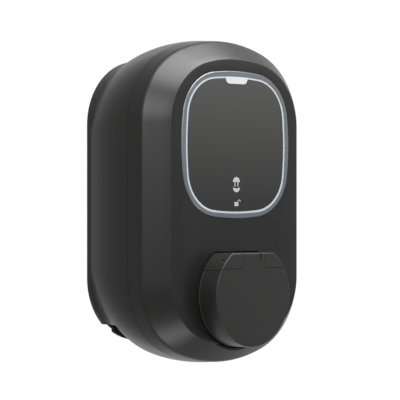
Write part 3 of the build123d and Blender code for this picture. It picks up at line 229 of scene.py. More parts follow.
class MachinedLines(ShaderGroup):
    """Turning and drawing marks on metal: stretched noise along one axis of the piece."""

    name = "machined_lines"
    scale = "Lines"
    relief = 0.00004
    inputs = (("Lines", 900.0), ("Depth", 0.1), ("Roughness", 0.3), ("Spread", 0.2))

    def fill(self, tree: Tree, source: Node) -> None:
        """Adds one stretched noise for bump, gloss and tone, as in the base class."""
        place, stretch = tree.nodes.new("ShaderNodeTexCoord"), tree.nodes.new("ShaderNodeMapping")
        stretch.inputs["Scale"].default_value = (0.12, 1.0, 1.0)
        tree.links.new(place.outputs["Object"], stretch.inputs["Vector"])
        lines = self.noise(tree, source.outputs[self.scale], stretch.outputs["Vector"], 2.0)
        self.surface(tree, source, lines, lines, lines)


# Finishes


@dataclass(frozen=True)
class Finish:
    """One finish of the charging station, as a procedural material."""

    name: str
    colour: Colour
    second: Colour
    roughness: float
    spread: float = 0.06
    grain: float = 1500.0
    depth: float = 0.1
    metallic: float = 0.0
    specular: float = 0.5
    glow: float = 0.0
    seen: Seen = Seen.SOLID
    group: type[ShaderGroup] = MouldedGrain

    def material(self) -> bpy.types.Material:
        """The finish's material, made on its first use.

        Returns:
            The material with its Principled shader and shared groups.
        """
        made = bpy.data.materials.get(self.name)
        if made:
            return made
        made = bpy.data.materials.new(self.name)
        made.use_nodes = True
        tree = made.node_tree
        shader = tree.nodes["Principled BSDF"]
        self.settings(shader)
        values = {self.group.scale: self.grain, "Depth": self.depth}
        values |= {"Roughness": self.roughness, "Spread": self.spread}
        surface = self.group().place(tree, values)
        tree.links.new(surface.outputs["Roughness"], shader.inputs["Roughness"])
        tree.links.new(surface.outputs["Normal"], shader.inputs["Normal"])
        tree.links.new(self.tint(tree, surface.outputs["Tone"]), shader.inputs["Base Color"])
        return made

    def settings(self, shader: Node) -> None:
        """Sets the values that are the same all over the surface.

        Args:
            shader: The material's Principled shader.
        """
        shader.inputs["Metallic"].default_value = self.metallic
        shader.inputs["Specular IOR Level"].default_value = self.specular
        if self.seen is Seen.LIT:
            shader.inputs["Emission Color"].default_value = (*self.colour, 1.0)
            shader.inputs["Emission Strength"].default_value = self.glow

    def tint(self, tree: Tree, tone: Socket) -> Socket:
        """Mixes the finish's two colours by the surface's slow tone.

        Args:
            tree: The material's node tree.
            tone: A value that wanders over the surface.

        Returns:
            The mixed colour's socket.
        """
        ramp = tree.nodes.new("ShaderNodeValToRGB")
        ramp.color_ramp.elements[0].position = TONE_LOW
        ramp.color_ramp.elements[1].position = TONE_HIGH
        ramp.color_ramp.elements[0].color = (*self.colour, 1.0)
        ramp.color_ramp.elements[1].color = (*self.second, 1.0)
        tree.links.new(tone, ramp.inputs["Fac"])
        return ramp.outputs["Color"]


@dataclass(frozen=True)
class BoardFinish(Finish):
    """A printed board: solder mask with paler tracks and a grid of small pads."""

    track: Colour = (0.05, 0.24, 0.10)
    track_scale: float = 90.0
    track_width: float = 0.03
    pad: Colour = (0.62, 0.60, 0.52)
    pad_scale: float = 260.0
    pad_size: float = 0.16

    def tint(self, tree: Tree, tone: Socket) -> Socket:
        """Lays tracks and pads over the solder mask; the slow tone isn't used."""
        nodes, links = tree.nodes, tree.links
        place, tracks, pads = (nodes.new(f"ShaderNode{k}") for k in ("TexCoord", "TexBrick", "TexVoronoi"))
        turn = nodes.new("ShaderNodeMapping")
        turn.inputs["Rotation"].default_value = (math.pi / 2, 0.0, 0.0)
        tracks.inputs["Scale"].default_value = self.track_scale
        tracks.inputs["Mortar Size"].default_value = self.track_width
        for label, colour in (("Color1", self.colour), ("Color2", self.second), ("Mortar", self.track)):
            tracks.inputs[label].default_value = (*colour, 1.0)
        pads.inputs["Scale"].default_value = self.pad_scale
        near = nodes.new("ShaderNodeMath")
        near.operation = "LESS_THAN"
        near.inputs[1].default_value = self.pad_size
        mix = nodes.new("ShaderNodeMix")
        mix.data_type = "RGBA"
        mix.inputs["B"].default_value = (*self.pad, 1.0)
        links.new(place.outputs["Object"], turn.inputs["Vector"])
        links.new(turn.outputs["Vector"], tracks.inputs["Vector"])
        links.new(place.outputs["Object"], pads.inputs["Vector"])
        links.new(pads.outputs["Distance"], near.inputs[0])
        links.new(near.outputs[0], mix.inputs["Factor"])
        links.new(tracks.outputs["Color"], mix.inputs["A"])
        return mix.outputs["Result"]


def ramp_along(tree: Tree, axis: str, low: float, high: float) -> Node:
    """A colour ramp along one axis of the piece.

    Args:
        tree: The material's node tree.
        axis: The axis's letter.
        low: Where the ramp starts, in metres.
        high: Where it ends.

    Returns:
        The ramp's node.
    """
    nodes, links = tree.nodes, tree.links
    place, split = nodes.new("ShaderNodeTexCoord"), nodes.new("ShaderNodeSeparateXYZ")
    reach, ramp = nodes.new("ShaderNodeMapRange"), nodes.new("ShaderNodeValToRGB")
    reach.inputs["From Min"].default_value = low
    reach.inputs["From Max"].default_value = high
    links.new(place.outputs["Object"], split.inputs["Vector"])
    links.new(split.outputs[axis], reach.inputs["Value"])
    links.new(reach.outputs["Result"], ramp.inputs["Fac"])
    return ramp


@dataclass(frozen=True)
class PaintedReflectionFinish(Finish):
    """A finish that goes from its first colour low down to its second colour high up: a painted reflection,
    lighter towards the top.
    """

    low_z: float = 0.0
    high_z: float = 0.1

    def tint(self, tree: Tree, tone: Socket) -> Socket:
        """Mixes the two colours by height into the painted reflection; the slow tone isn't used."""
        ramp = ramp_along(tree, "Z", self.low_z, self.high_z)
        for element, colour in zip(ramp.color_ramp.elements, (self.colour, self.second)):
            element.color = (*colour, 1.0)
        return ramp.outputs["Color"]


@dataclass(frozen=True)
class WireFinish(Finish):
    """Insulated wires whose colours go from left to right."""

    colours: tuple[Colour, ...] = ()
    low_x: float = -0.04
    high_x: float = 0.04

    def tint(self, tree: Tree, tone: Socket) -> Socket:
        """Steps through the wires' colours along X; the slow tone isn't used."""
        ramp = ramp_along(tree, "X", self.low_x, self.high_x)
        elements, count = ramp.color_ramp.elements, len(self.colours)
        ramp.color_ramp.interpolation = "CONSTANT"
        while len(elements) < count:
            elements.new(0.5)
        for index, colour in enumerate(self.colours):
            elements[index].position = index / count
            elements[index].color = (*colour, 1.0)
        return ramp.outputs["Color"]


def wires(name: str, half_width: float, colours: tuple[Colour, ...]) -> WireFinish:
    """The finish of a bunch of wires about the middle.

    Args:
        name: The material's name.
        half_width: How far the bunch reaches to either side, in metres.
        colours: The wires' colours from left to right.

    Returns:
        The finish.
    """
    base = (0.02, 0.02, 0.02)
    return WireFinish(name, base, base, 0.4, depth=0.1, low_x=-half_width, high_x=half_width, colours=colours)


COVER = Finish("cover_satin", (0.0050, 0.0050, 0.0049), (0.0060, 0.0060, 0.0058), 0.36, grain=2600.0,
               depth=0.06, specular=0.18)
FLAP = Finish("flap_satin", (0.0085, 0.0085, 0.0083), (0.0098, 0.0098, 0.0095), 0.38, grain=2600.0,
              depth=0.06, specular=0.20)
HOUSING = Finish("housing_satin", (0.0065, 0.0065, 0.0063), (0.0080, 0.0080, 0.0078), 0.34, grain=2200.0,
                 depth=0.10, specular=0.17)
PLATE = Finish("wall_plate_matt", (0.006, 0.006, 0.006), (0.008, 0.008, 0.008), 0.62, grain=1400.0,
               depth=0.25, specular=0.15)
BEZEL = Finish("bezel_frosted", (0.046, 0.052, 0.061), (0.054, 0.060, 0.070), 0.34, depth=0.03)
LINE = Finish(
    "light_line_lit", (0.24, 0.26, 0.28), (0.28, 0.30, 0.32), 0.45, depth=0.02, glow=0.04, seen=Seen.LIT
)
# Painted reflection: the glass goes from near black at the bottom to lighter at the top, standing in for the
# lamps' reflection
GLASS = PaintedReflectionFinish(
    "panel_glass", (0.002, 0.002, 0.002), (0.027, 0.027, 0.026), 0.24, spread=0.02, specular=0.36, depth=0.0,
    low_z=-0.008, high_z=0.104,
)
SIGN = Finish("sign_ink", (0.22, 0.23, 0.24), (0.25, 0.26, 0.27), 0.5, depth=0.02, glow=0.04, seen=Seen.LIT)
BADGE = Finish("badge_satin", (0.27, 0.275, 0.28), (0.30, 0.305, 0.31), 0.38, depth=0.05)
RUBBER = Finish("rubber_seal", (0.010, 0.010, 0.010), (0.016, 0.016, 0.016), 0.72, grain=900.0, depth=0.3)
STEEL = Finish("zinc_steel", (0.55, 0.55, 0.57), (0.66, 0.66, 0.67), 0.24, spread=0.18, metallic=1.0,
               grain=900.0, depth=0.12, group=MachinedLines)
SILVER = Finish("silver_contact", (0.72, 0.71, 0.68), (0.80, 0.79, 0.76), 0.16, spread=0.14, metallic=1.0,
                grain=1300.0, depth=0.08, group=MachinedLines)
MODULE = Finish("moulded_black", (0.018, 0.018, 0.020), (0.024, 0.024, 0.026), 0.42, grain=1100.0, depth=0.2)
PALE = Finish("moulded_grey", (0.52, 0.53, 0.53), (0.58, 0.59, 0.59), 0.46, grain=1100.0, depth=0.2)
CAN = Finish("tinned_can", (0.60, 0.60, 0.60), (0.70, 0.70, 0.69), 0.26, spread=0.16, metallic=1.0,
             group=MachinedLines)
RIBBON = Finish("ribbon_grey", (0.44, 0.45, 0.46), (0.50, 0.51, 0.52), 0.5, depth=0.1)
BOARD = BoardFinish("board_green", (0.012, 0.12, 0.045), (0.014, 0.135, 0.05), 0.30, depth=0.08)
MAINS_COLOURS = (
    (0.12, 0.05, 0.02), (0.015, 0.015, 0.017), (0.30, 0.30, 0.31), (0.03, 0.12, 0.45), (0.08, 0.35, 0.06)
)
POWER_WIRES = wires("power_wires", 0.041, MAINS_COLOURS)
SUPPLY_WIRES = wires("supply_wires", 0.025, MAINS_COLOURS)
SIGNAL_WIRES = wires("signal_wires", 0.02, ((0.55, 0.20, 0.02), (0.60, 0.60, 0.58)))


# Mesh making, in millimetres until a piece is finished


def sharpen(mesh: bpy.types.Mesh, limit: float) -> None:
    """Shades a mesh smooth, apart from edges that turn more than a limit.

    Args:
        mesh: The mesh to shade.
        limit: The angle in degrees.
    """
    bm = bmesh.new()
    bm.from_mesh(mesh)
    for edge in bm.edges:
        edge.smooth = edge.is_manifold and edge.calc_face_angle(0.0) < math.radians(limit)
    for face in bm.faces:
        face.smooth = True
    bm.to_mesh(mesh)
    bm.free()


@dataclass(frozen=True)
class Piece:
    """A finished piece: its name, finish, body, record slot and the CAD nodes that it stands for."""

    name: str
    finish: Finish
    slot: str
    body: Body = Body.STATION
    nodes: tuple[str, ...] = ()
    sharp: float = 28.0

    def settle(self, thing: Thing) -> Thing:
        """Shades and dresses an object, hangs it on its body and hides the CAD nodes it stands for.

        Args:
            thing: The object, already in metres and in place.

        Returns:
            The same object.
        """
        thing.name = self.name
        sharpen(thing.data, self.sharp)
        thing.data.materials.clear()
        thing.data.materials.append(self.finish.material())
        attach(thing, self.body.value)
        if self.nodes:
            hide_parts(*self.nodes)
        LOG.info("%s: %d faces", self.name, len(thing.data.polygons))
        return thing

    def from_work(self, bm: BMesh) -> Thing:
        """Turns bmesh work into the finished piece.

        Args:
            bm: The work, in millimetres.

        Returns:
            The piece's object.
        """
        bmesh.ops.scale(bm, vec=(MM, MM, MM), verts=bm.verts)
        return self.settle(as_object(bm, self.name))


def as_object(bm: BMesh, name: str = "work") -> Thing:
    """Makes a new object in the scene.

    Args:
        bm: The object's bmesh work, which is freed.
        name: The object's name.

    Returns:
        The object.
    """
    mesh = bpy.data.meshes.new(name)
    bm.to_mesh(mesh)
    bm.free()
    thing = bpy.data.objects.new(name, mesh)
    bpy.context.scene.collection.objects.link(thing)
    return thing


def copy_of_node(node: Thing) -> BMesh:
    """A merged copy of a CAD node's mesh.

    Args:
        node: The CAD node's object.

    Returns:
        The copy, in millimetres.
    """
    bm = bmesh.new()
    bm.from_mesh(node.data)
    bmesh.ops.scale(bm, vec=(1 / MM, 1 / MM, 1 / MM), verts=bm.verts)
    bmesh.ops.remove_doubles(bm, verts=bm.verts, dist=WELD)
    bmesh.ops.dissolve_limit(bm, angle_limit=math.radians(FLAT_TURN), verts=bm.verts, edges=bm.edges)
    return bm


# Outlines, drawn as closed loops of edges by spinning vertices


@dataclass(frozen=True)
class Arc:
    """A turn about a centre in the front view, in degrees, from right to up."""

    x: float
    z: float
    turn: float
    steps: int


@dataclass(frozen=True)
class Straight:
    """A straight run in the front view."""

    x: float
    z: float


Moves = list[Arc | Straight]


def draw_chain(bm: BMesh, start: Place, moves: Moves) -> None:
    """Draws a chain of edges at one depth.

    Args:
        bm: The bmesh to draw in.
        start: The first point.
        moves: Arcs and straight runs, in order.
    """
    tip = bm.verts.new(start)
    for move in moves:
        if isinstance(move, Straight):
            tip = bmesh.ops.extrude_vert_indiv(bm, verts=[tip])["verts"][0]
            bmesh.ops.translate(bm, vec=(move.x, 0.0, move.z), verts=[tip])
            continue
        turned = bmesh.ops.spin(
            bm, geom=[tip], cent=(move.x, start[1], move.z), axis=TOWARDS_VIEWER,
            angle=math.radians(move.turn), steps=move.steps,
        )
        tip = next(item for item in turned["geom_last"] if isinstance(item, bmesh.types.BMVert))


def mirrored_loop(bm: BMesh, start: Place, moves: Moves, centre_z: float, both: bool) -> Edges:
    """Draws a chain and mirrors it into a closed loop.

    Args:
        bm: The bmesh to draw in.
        start: The chain's first point.
        moves: The chain's arcs and runs.
        centre_z: The height of the mirror across, and of the loop's middle.
        both: Whether the loop is mirrored top to bottom too.

    Returns:
        The loop's edges.
    """
    old_edges, old_verts = set(bm.edges), set(bm.verts)
    draw_chain(bm, start, moves)
    for axis in ("X", "Z") if both else ("X",):
        fresh = [e for e in bm.edges if e not in old_edges] + [v for v in bm.verts if v not in old_verts]
        about = Matrix.Translation((0.0, 0.0, -centre_z))
        bmesh.ops.mirror(bm, geom=fresh, matrix=about, merge_dist=MERGE, axis=axis)
        fresh_verts = [v for v in bm.verts if v not in old_verts]
        bmesh.ops.remove_doubles(bm, verts=fresh_verts, dist=MERGE)
    return [edge for edge in bm.edges if edge not in old_edges]


@dataclass(frozen=True)
class Section:
    """A cross-section of the body: straight sides, round corners and a flatter arc over the top."""

    y: float
    half_width: float
    half_height: float
    straight: float
    corner: float
    corner_steps: ClassVar[int] = 26
    top_steps: ClassVar[int] = 14

    def inset(self, amount: float, y: float | None = None) -> "Section":
        """The same section, smaller all round.

        Args:
            amount: How much smaller.
            y: Another depth, or None for its own.

        Returns:
            The smaller section.
        """
        depth = self.y if y is None else y
        width, height = self.half_width - amount, self.half_height - amount
        return Section(depth, width, height, self.straight, self.corner - amount)

    def towards(self, other: "Section", share: float) -> "Section":
        """The section part of the way to another one.

        Args:
            other: The section at share 1.
            share: How far along.

        Returns:
            The section between them.
        """
        return Section(*(mix_numbers(a, b, share) for a, b in zip(astuple(self), astuple(other))))

    def draw(self, bm: BMesh) -> Edges:
        """Draws the section's closed loop.

        Args:
            bm: The bmesh to draw in.

        Returns:
            The loop's edges.
        """
        centre_x = self.half_width - self.corner
        rise = self.half_height - self.straight
        top = (centre_x**2 + rise**2 - self.corner**2) / (2 * (rise - self.corner))
        lean = math.degrees(math.atan2(self.straight - self.half_height + top, centre_x))
        moves = [
            Straight(0.0, self.straight),
            Arc(centre_x, self.straight, lean, self.corner_steps),
            Arc(0.0, self.half_height - top, 90.0 - lean, self.top_steps),
        ]
        return mirrored_loop(bm, (self.half_width, self.y, 0.0), moves, 0.0, True)


@dataclass(frozen=True)
class Squircle:
    """The panel's frame: shallow arcs on four sides and rounder ones where its power curve turns."""

    half_width: float
    half_height: float
    corner: float
    power: float
    centre_z: float
    side_steps: ClassVar[int] = 10
    corner_steps: ClassVar[int] = 18

    def inset(self, amount: float) -> "Squircle":
        """The same squircle, smaller all round.

        Args:
            amount: How much smaller.

        Returns:
            The smaller squircle.
        """
        width, height, corner = self.half_width - amount, self.half_height - amount, self.corner - amount
        return Squircle(width, height, corner, self.power, self.centre_z)

    def draw(self, bm: BMesh, y: float) -> Edges:
        """Draws the squircle's closed loop.

        Args:
            bm: The bmesh to draw in.
            y: The loop's depth.

        Returns:
            The loop's edges.
        """
        shrink, diagonal = 2 ** (-1 / self.power), self.corner / math.sqrt(2)
        x, z = self.half_width * shrink - diagonal, self.half_height * shrink - diagonal
        side = shallow_radius(self.half_width - x, z, self.corner)
        top = shallow_radius(self.half_height - z, x, self.corner)
        low = math.degrees(math.atan2(z, x - self.half_width + side))
        high = math.degrees(math.atan2(z - self.half_height + top, x))
        moves = [
            Arc(self.half_width - side, self.centre_z, low, self.side_steps),
            Arc(x, self.centre_z + z, high - low, self.corner_steps),
            Arc(0.0, self.centre_z + self.half_height - top, 90.0 - high, self.side_steps),
        ]
        return mirrored_loop(bm, (self.half_width, y, self.centre_z), moves, self.centre_z, True)


def shallow_radius(reach: float, across: float, corner: float) -> float:
    """The radius of a shallow arc that meets a corner arc smoothly.

    Args:
        reach: How far the shallow arc stands out from the corner's centre.
        across: How far that centre is from the side's middle.
        corner: The corner arc's radius.

    Returns:
        The shallow arc's radius.
    """
    return (reach**2 + across**2 - corner**2) / (2 * (reach - corner))


@dataclass(frozen=True)
class Dee:
    """A circle with a flat top."""

    radius: float
    flat_top: float
    centre_z: float
    steps: ClassVar[int] = 72

    def grown(self, amount: float) -> "Dee":
        """The same shape, larger all round.

        Args:
            amount: How much larger.

        Returns:
            The larger shape.
        """
        return Dee(self.radius + amount, self.flat_top + amount, self.centre_z)

    def draw(self, bm: BMesh, y: float) -> Edges:
        """Draws the closed loop.

        Args:
            bm: The bmesh to draw in.
            y: The loop's depth.

        Returns:
            The loop's edges.
        """
        reach = 180.0 - math.degrees(math.acos(self.flat_top / self.radius))
        half = math.sqrt(self.radius**2 - self.flat_top**2)
        moves = [Arc(0.0, self.centre_z, reach, self.steps), Straight(-half, 0.0)]
        return mirrored_loop(bm, (0.0, y, self.centre_z - self.radius), moves, self.centre_z, False)


def loft(bm: BMesh, loops: list[Edges]) -> None:
    """Bridges a row of loops and closes its two ends.

    Args:
        bm: The bmesh that holds the loops.
        loops: The loops in order.
    """
    for first, second in zip(loops, loops[1:]):
        bmesh.ops.bridge_loops(bm, edges=first + second)
    for end in (loops[0], loops[-1]):
        bmesh.ops.contextual_create(bm, geom=end)
    bmesh.ops.recalc_face_normals(bm, faces=bm.faces)


def lofted(sections: list[Section]) -> Thing:
    """A closed form through body sections.

    Args:
        sections: The sections in order.

    Returns:
        The object, in millimetres.
    """
    bm = bmesh.new()
    loft(bm, [section.draw(bm) for section in sections])
    return as_object(bm)


def prism(shape: Squircle | Dee, front: float, back: float) -> Thing:
    """A closed prism of an outline.

    Args:
        shape: The outline.
        front: The prism's front depth.
        back: Its back depth.

    Returns:
        The object, in millimetres.
    """
    bm = bmesh.new()
    loft(bm, [shape.draw(bm, front), shape.draw(bm, back)])
    return as_object(bm)


def block(low: Place, high: Place) -> Thing:
    """A box between two corners.

    Args:
        low: The lowest corner.
        high: The highest corner.

    Returns:
        The object, in millimetres.
    """
    bm = bmesh.new()
    bmesh.ops.create_cube(bm, size=1.0)
    sizes = [b - a for a, b in zip(low, high)]
    bmesh.ops.scale(bm, vec=sizes, verts=bm.verts)
    bmesh.ops.translate(bm, vec=[(a + b) / 2 for a, b in zip(low, high)], verts=bm.verts)
    return as_object(bm)


def rod(radius: float, centre: Place, length: float) -> Thing:
    """An upright round bar.

    Args:
        radius: The bar's radius.
        centre: The bar's middle.
        length: The bar's height.

    Returns:
        The object, in millimetres.
    """
    bm = bmesh.new()
    bmesh.ops.create_cone(
        bm, cap_ends=True, segments=ROD_SIDES, radius1=radius, radius2=radius, depth=length,
        matrix=Matrix.Translation(centre),
    )
    return as_object(bm)


class Joining(Enum):
    """How one solid changes another."""

    ADD = "UNION"
    CUT = "DIFFERENCE"
    KEEP = "INTERSECT"


def join(base: Thing, other: Thing, way: Joining) -> Thing:
    """Adds, cuts or keeps by another solid, which is used up.

    Args:
        base: The solid to change.
        other: The solid that changes it.
        way: How it does.

    Returns:
        The changed solid.
    """
    modifier = base.modifiers.new("joining", "BOOLEAN")
    modifier.object, modifier.operation, modifier.solver = other, way.value, "EXACT"
    bpy.context.view_layer.update()
    seen = base.evaluated_get(bpy.context.evaluated_depsgraph_get())
    mesh = bpy.data.meshes.new_from_object(seen)
    base.modifiers.clear()
    base.data = mesh
    bpy.data.objects.remove(other)
    return base


def in_metres(thing: Thing) -> Thing:
    """Scales a solid's mesh from millimetres to metres and cleans its seams.

    Args:
        thing: The finished solid.

    Returns:
        The same solid.
    """
    bm = bmesh.new()
    bm.from_mesh(thing.data)
    bmesh.ops.remove_doubles(bm, verts=bm.verts, dist=WELD)
    bmesh.ops.scale(bm, vec=(MM, MM, MM), verts=bm.verts)
    bm.to_mesh(thing.data)
    bm.free()
    return thing


# Sub-assemblies


@dataclass
class BodyShells:
    """The front cover and the rear housing, smooth outside and open where the real ones are.

    Everything is in millimetres. Steps count mesh divisions, shares run from one section to the next,
    and clear and overlap are how far a cutter passes what it cuts. Each entry is a place across and
    a radius.
    """

    wall: float = 2.6
    front: Section = Section(-89.5, 74.0, 121.1, 65.3, 53.1)
    crease: Section = Section(-71.5, 92.4, 137.2, 65.3, 67.5)
    parting: Section = Section(-57.2, 94.1, 138.2, 65.3, 68.2)
    widest: Section = Section(-44.6, 95.2, 138.8, 65.3, 65.5)
    rear: Section = Section(-8.0, 90.8, 134.0, 55.3, 72.3)
    flange: Section = Section(-5.4, 90.2, 125.4, 65.3, 56.3)
    front_edge: float = 0.5
    front_edge_steps: int = 3
    bevel_shares: tuple[float, ...] = (0.33, 0.67)
    crease_reach: float = 2.82
    crease_ahead: float = 0.7
    crease_steps: int = 8
    flank_shares: tuple[float, ...] = (0.5, 1.0)
    reveal: float = 0.35
    swell_steps: int = 12
    flange_wall: float = 3.0
    flange_edge: float = 1.2
    flange_steps: int = 4
    cove_start: float = -30.0
    cove_dip: float = 0.6
    cove_steps: int = 8

    cavity_front_inset: float = 1.0
    cavity_crease_lag: float = 1.0
    seat_root: float = 0.8
    flap_seat: Dee = Dee(45.3, 37.0, -79.3)
    collar_wall: float = 2.0
    collar_depth: float = 9.0
    ring: Squircle = Squircle(63.4, 62.6, 40.4, 2.95, 48.1)
    ring_play: float = 0.1
    ring_depth: float = 2.4
    ring_land: float = 4.0
    pad_reach: float = 7.6
    pad_depth: float = 5.6
    panel_hole_depth: float = 9.0

    cavity_steps: int = 6
    recess: float = 12.0
    panel: float = 3.0
    notch_level: float = -105.2
    notch_depth: float = 22.3
    pocket_half: float = 46.0
    pocket_front: float = -15.0
    pocket_back: float = -3.6
    pocket_height: float = 22.0
    hollow_front: float = -30.0
    entries: tuple[tuple[float, float], ...] = ((-28.0, 6.5), (28.0, 4.0), (0.0, 2.0))
    entry_y: float = -13.6
    entry_length: float = 12.0
    slot_x: tuple[float, float] = (27.6, 44.4)
    slot_y: tuple[float, float] = (-17.0, -11.0)
    slot_z: tuple[float, float] = (87.0, 96.0)
    overlap: float = 1.0
    wall_overlap: float = 2.0
    clear: float = 5.0
    far: float = 200.0

    def along(self, first: Section, second: Section, reach: float) -> Section:
        """The section that lies a distance in depth from one towards another.

        Args:
            first: The section that the distance starts from.
            second: The section that it goes towards.
            reach: The distance.

        Returns:
            The section between them.
        """
        return first.towards(second, reach / abs(second.y - first.y))

    def eased(self, before: Section, corner: Section, after: Section, steps: int) -> list[Section]:
        """Sections that ease round a corner.

        Args:
            before: Where the easing starts.
            corner: The corner that it rounds off.
            after: Where it ends.
            steps: How many steps it takes.

        Returns:
            The sections in order.
        """
        shares = [step / steps for step in range(steps + 1)]
        return [before.towards(corner, s).towards(corner.towards(after, s), s) for s in shares]

    def cover_sections(self) -> list[Section]:
        """The cover's outer form: flat front, crisp edge, bevel, soft crease and flank.

        Returns:
            The sections from front to back.
        """
        edge_start = self.front.inset(self.front_edge)
        edge_end = self.along(self.front, self.crease, self.front_edge)
        before = self.along(self.crease, self.front, self.crease_reach * self.crease_ahead)
        after = self.along(self.crease, self.parting, self.crease_reach)
        edge = self.eased(edge_start, self.front, edge_end, self.front_edge_steps)
        bevel = [edge_end.towards(before, share) for share in self.bevel_shares]
        flank = [after.towards(self.parting, share) for share in self.flank_shares]
        return edge + bevel + self.eased(before, self.crease, after, self.crease_steps) + flank

    def bulged(self, y: float) -> Section:
        """The housing's outer section, on the smooth curve through three of its sections.

        Args:
            y: The section's depth.

        Returns:
            The section.
        """
        known = (self.parting, self.widest, self.rear)
        weights = []
        for one in known:
            others = [other.y for other in known if other is not one]
            weights.append(math.prod((y - other) / (one.y - other) for other in others))
        sums = [sum(w * n for w, n in zip(weights, column)) for column in zip(*map(astuple, known))]
        return Section(y, *sums[1:])

    def housing_sections(self) -> list[Section]:
        """The housing's outer form from the parting line's groove to the wall.

        Returns:
            The sections from front to back.
        """
        groove_back, steps = self.parting.y + self.reveal, self.swell_steps
        groove = [self.parting.inset(self.reveal), self.parting.inset(self.reveal, groove_back)]
        depths = [mix_numbers(groove_back, self.rear.y, step / steps) for step in range(steps + 1)]
        wall_end = self.flange.inset(self.flange_edge, 0.0)
        return groove + [self.bulged(y) for y in depths] + [wall_end]

    def envelope(self) -> Thing:
        """The housing's whole outer form, with a soft cove down to its squarer flange.

        Returns:
            The solid, in millimetres.
        """
        flange, edge_wide = self.flange, self.flange_edge
        swell = lofted(self.housing_sections())
        edge_end = flange.inset(0.0, flange.y + edge_wide)
        edge = self.eased(flange.inset(edge_wide), flange, edge_end, self.flange_steps)
        join(swell, lofted(edge + [flange.inset(0.0, 0.0)]), Joining.ADD)
        start = self.bulged(self.cove_start).inset(self.reveal)
        bend = self.rear.inset(self.cove_dip, (self.cove_start + flange.y) / 2)
        foot = flange.inset(edge_wide / 2, flange.y + edge_wide / 2)
        return join(swell, lofted(self.eased(start, bend, foot, self.cove_steps)), Joining.ADD)

    def cover(self) -> None:
        """Builds the front cover with its flap opening, panel seat and panel hole."""
        front, ring = self.front.y, self.ring
        root, ahead, collar_back = front + self.seat_root, front - self.clear, front + self.collar_depth
        shell = lofted(self.cover_sections())
        inner = [
            self.front.inset(self.cavity_front_inset, front + self.wall),
            self.crease.inset(self.wall, self.crease.y + self.cavity_crease_lag),
            self.parting.inset(self.wall, self.parting.y + self.overlap),
        ]
        join(shell, lofted(inner), Joining.CUT)
        changes = (
            (self.flap_seat.grown(self.collar_wall), root, collar_back, Joining.ADD),
            (ring.inset(-self.pad_reach), root, front + self.pad_depth, Joining.ADD),
            (self.flap_seat, ahead, collar_back + self.clear, Joining.CUT),
            (ring.inset(-self.ring_play), ahead, front + self.ring_depth, Joining.CUT),
            (ring.inset(self.ring_land), ahead, front + self.panel_hole_depth, Joining.CUT),
        )
        for shape, start, end, way in changes:
            join(shell, prism(shape, start, end), way)
        Piece("cover_shell", COVER, "cover", nodes=("front_cover",), sharp=24).settle(in_metres(shell))

    def housing(self) -> None:
        """Builds the rear housing with its back recess, notch, pocket for the entries and hook slots."""
        shell, wall, steps = self.envelope(), self.wall, self.cavity_steps
        cavity_front, cavity_back = self.parting.y - self.overlap, -self.recess - self.panel
        depths = [mix_numbers(cavity_front, cavity_back, step / steps) for step in range(steps + 1)]
        join(shell, lofted([self.bulged(y).inset(wall) for y in depths]), Joining.CUT)
        inner = self.flange.inset(self.flange_wall)
        deep = self.rear.inset(self.flange_wall + wall, -self.recess)
        join(shell, lofted([deep, inner, inner.inset(0.0, self.wall_overlap)]), Joining.CUT)
        low, far, notch_y = self.notch_level, self.far, -self.notch_depth
        join(shell, block((-far, notch_y, -far), (far, far, low)), Joining.CUT)
        walls = block((-far, notch_y - wall, -far), (far, notch_y, low + wall))
        ceiling = block((-far, notch_y - self.overlap, low), (far, -self.recess, low + wall))
        join(join(walls, ceiling, Joining.ADD), self.envelope(), Joining.KEEP)
        join(shell, walls, Joining.ADD)
        back, top, half = self.pocket_back, low + self.pocket_height, self.pocket_half
        join(shell, block((-half, self.pocket_front, low), (half, back, top)), Joining.ADD)
        inside = (half - wall, back - wall, top - wall)
        join(shell, block((wall - half, self.hollow_front, low + wall), inside), Joining.CUT)
        for x, radius in self.entries:
            join(shell, rod(radius, (x, self.entry_y, low), self.entry_length), Joining.CUT)
        (slot_front, slot_back), (slot_low, slot_high) = self.slot_y, self.slot_z
        for side in (-1, 1):
            low_x, high_x = sorted(side * edge for edge in self.slot_x)
            slot = block((low_x, slot_front, slot_low), (high_x, slot_back, slot_high))
            join(shell, slot, Joining.CUT)
        Piece("housing_shell", HOUSING, "housing", nodes=("rear_housing",), sharp=24).settle(in_metres(shell))


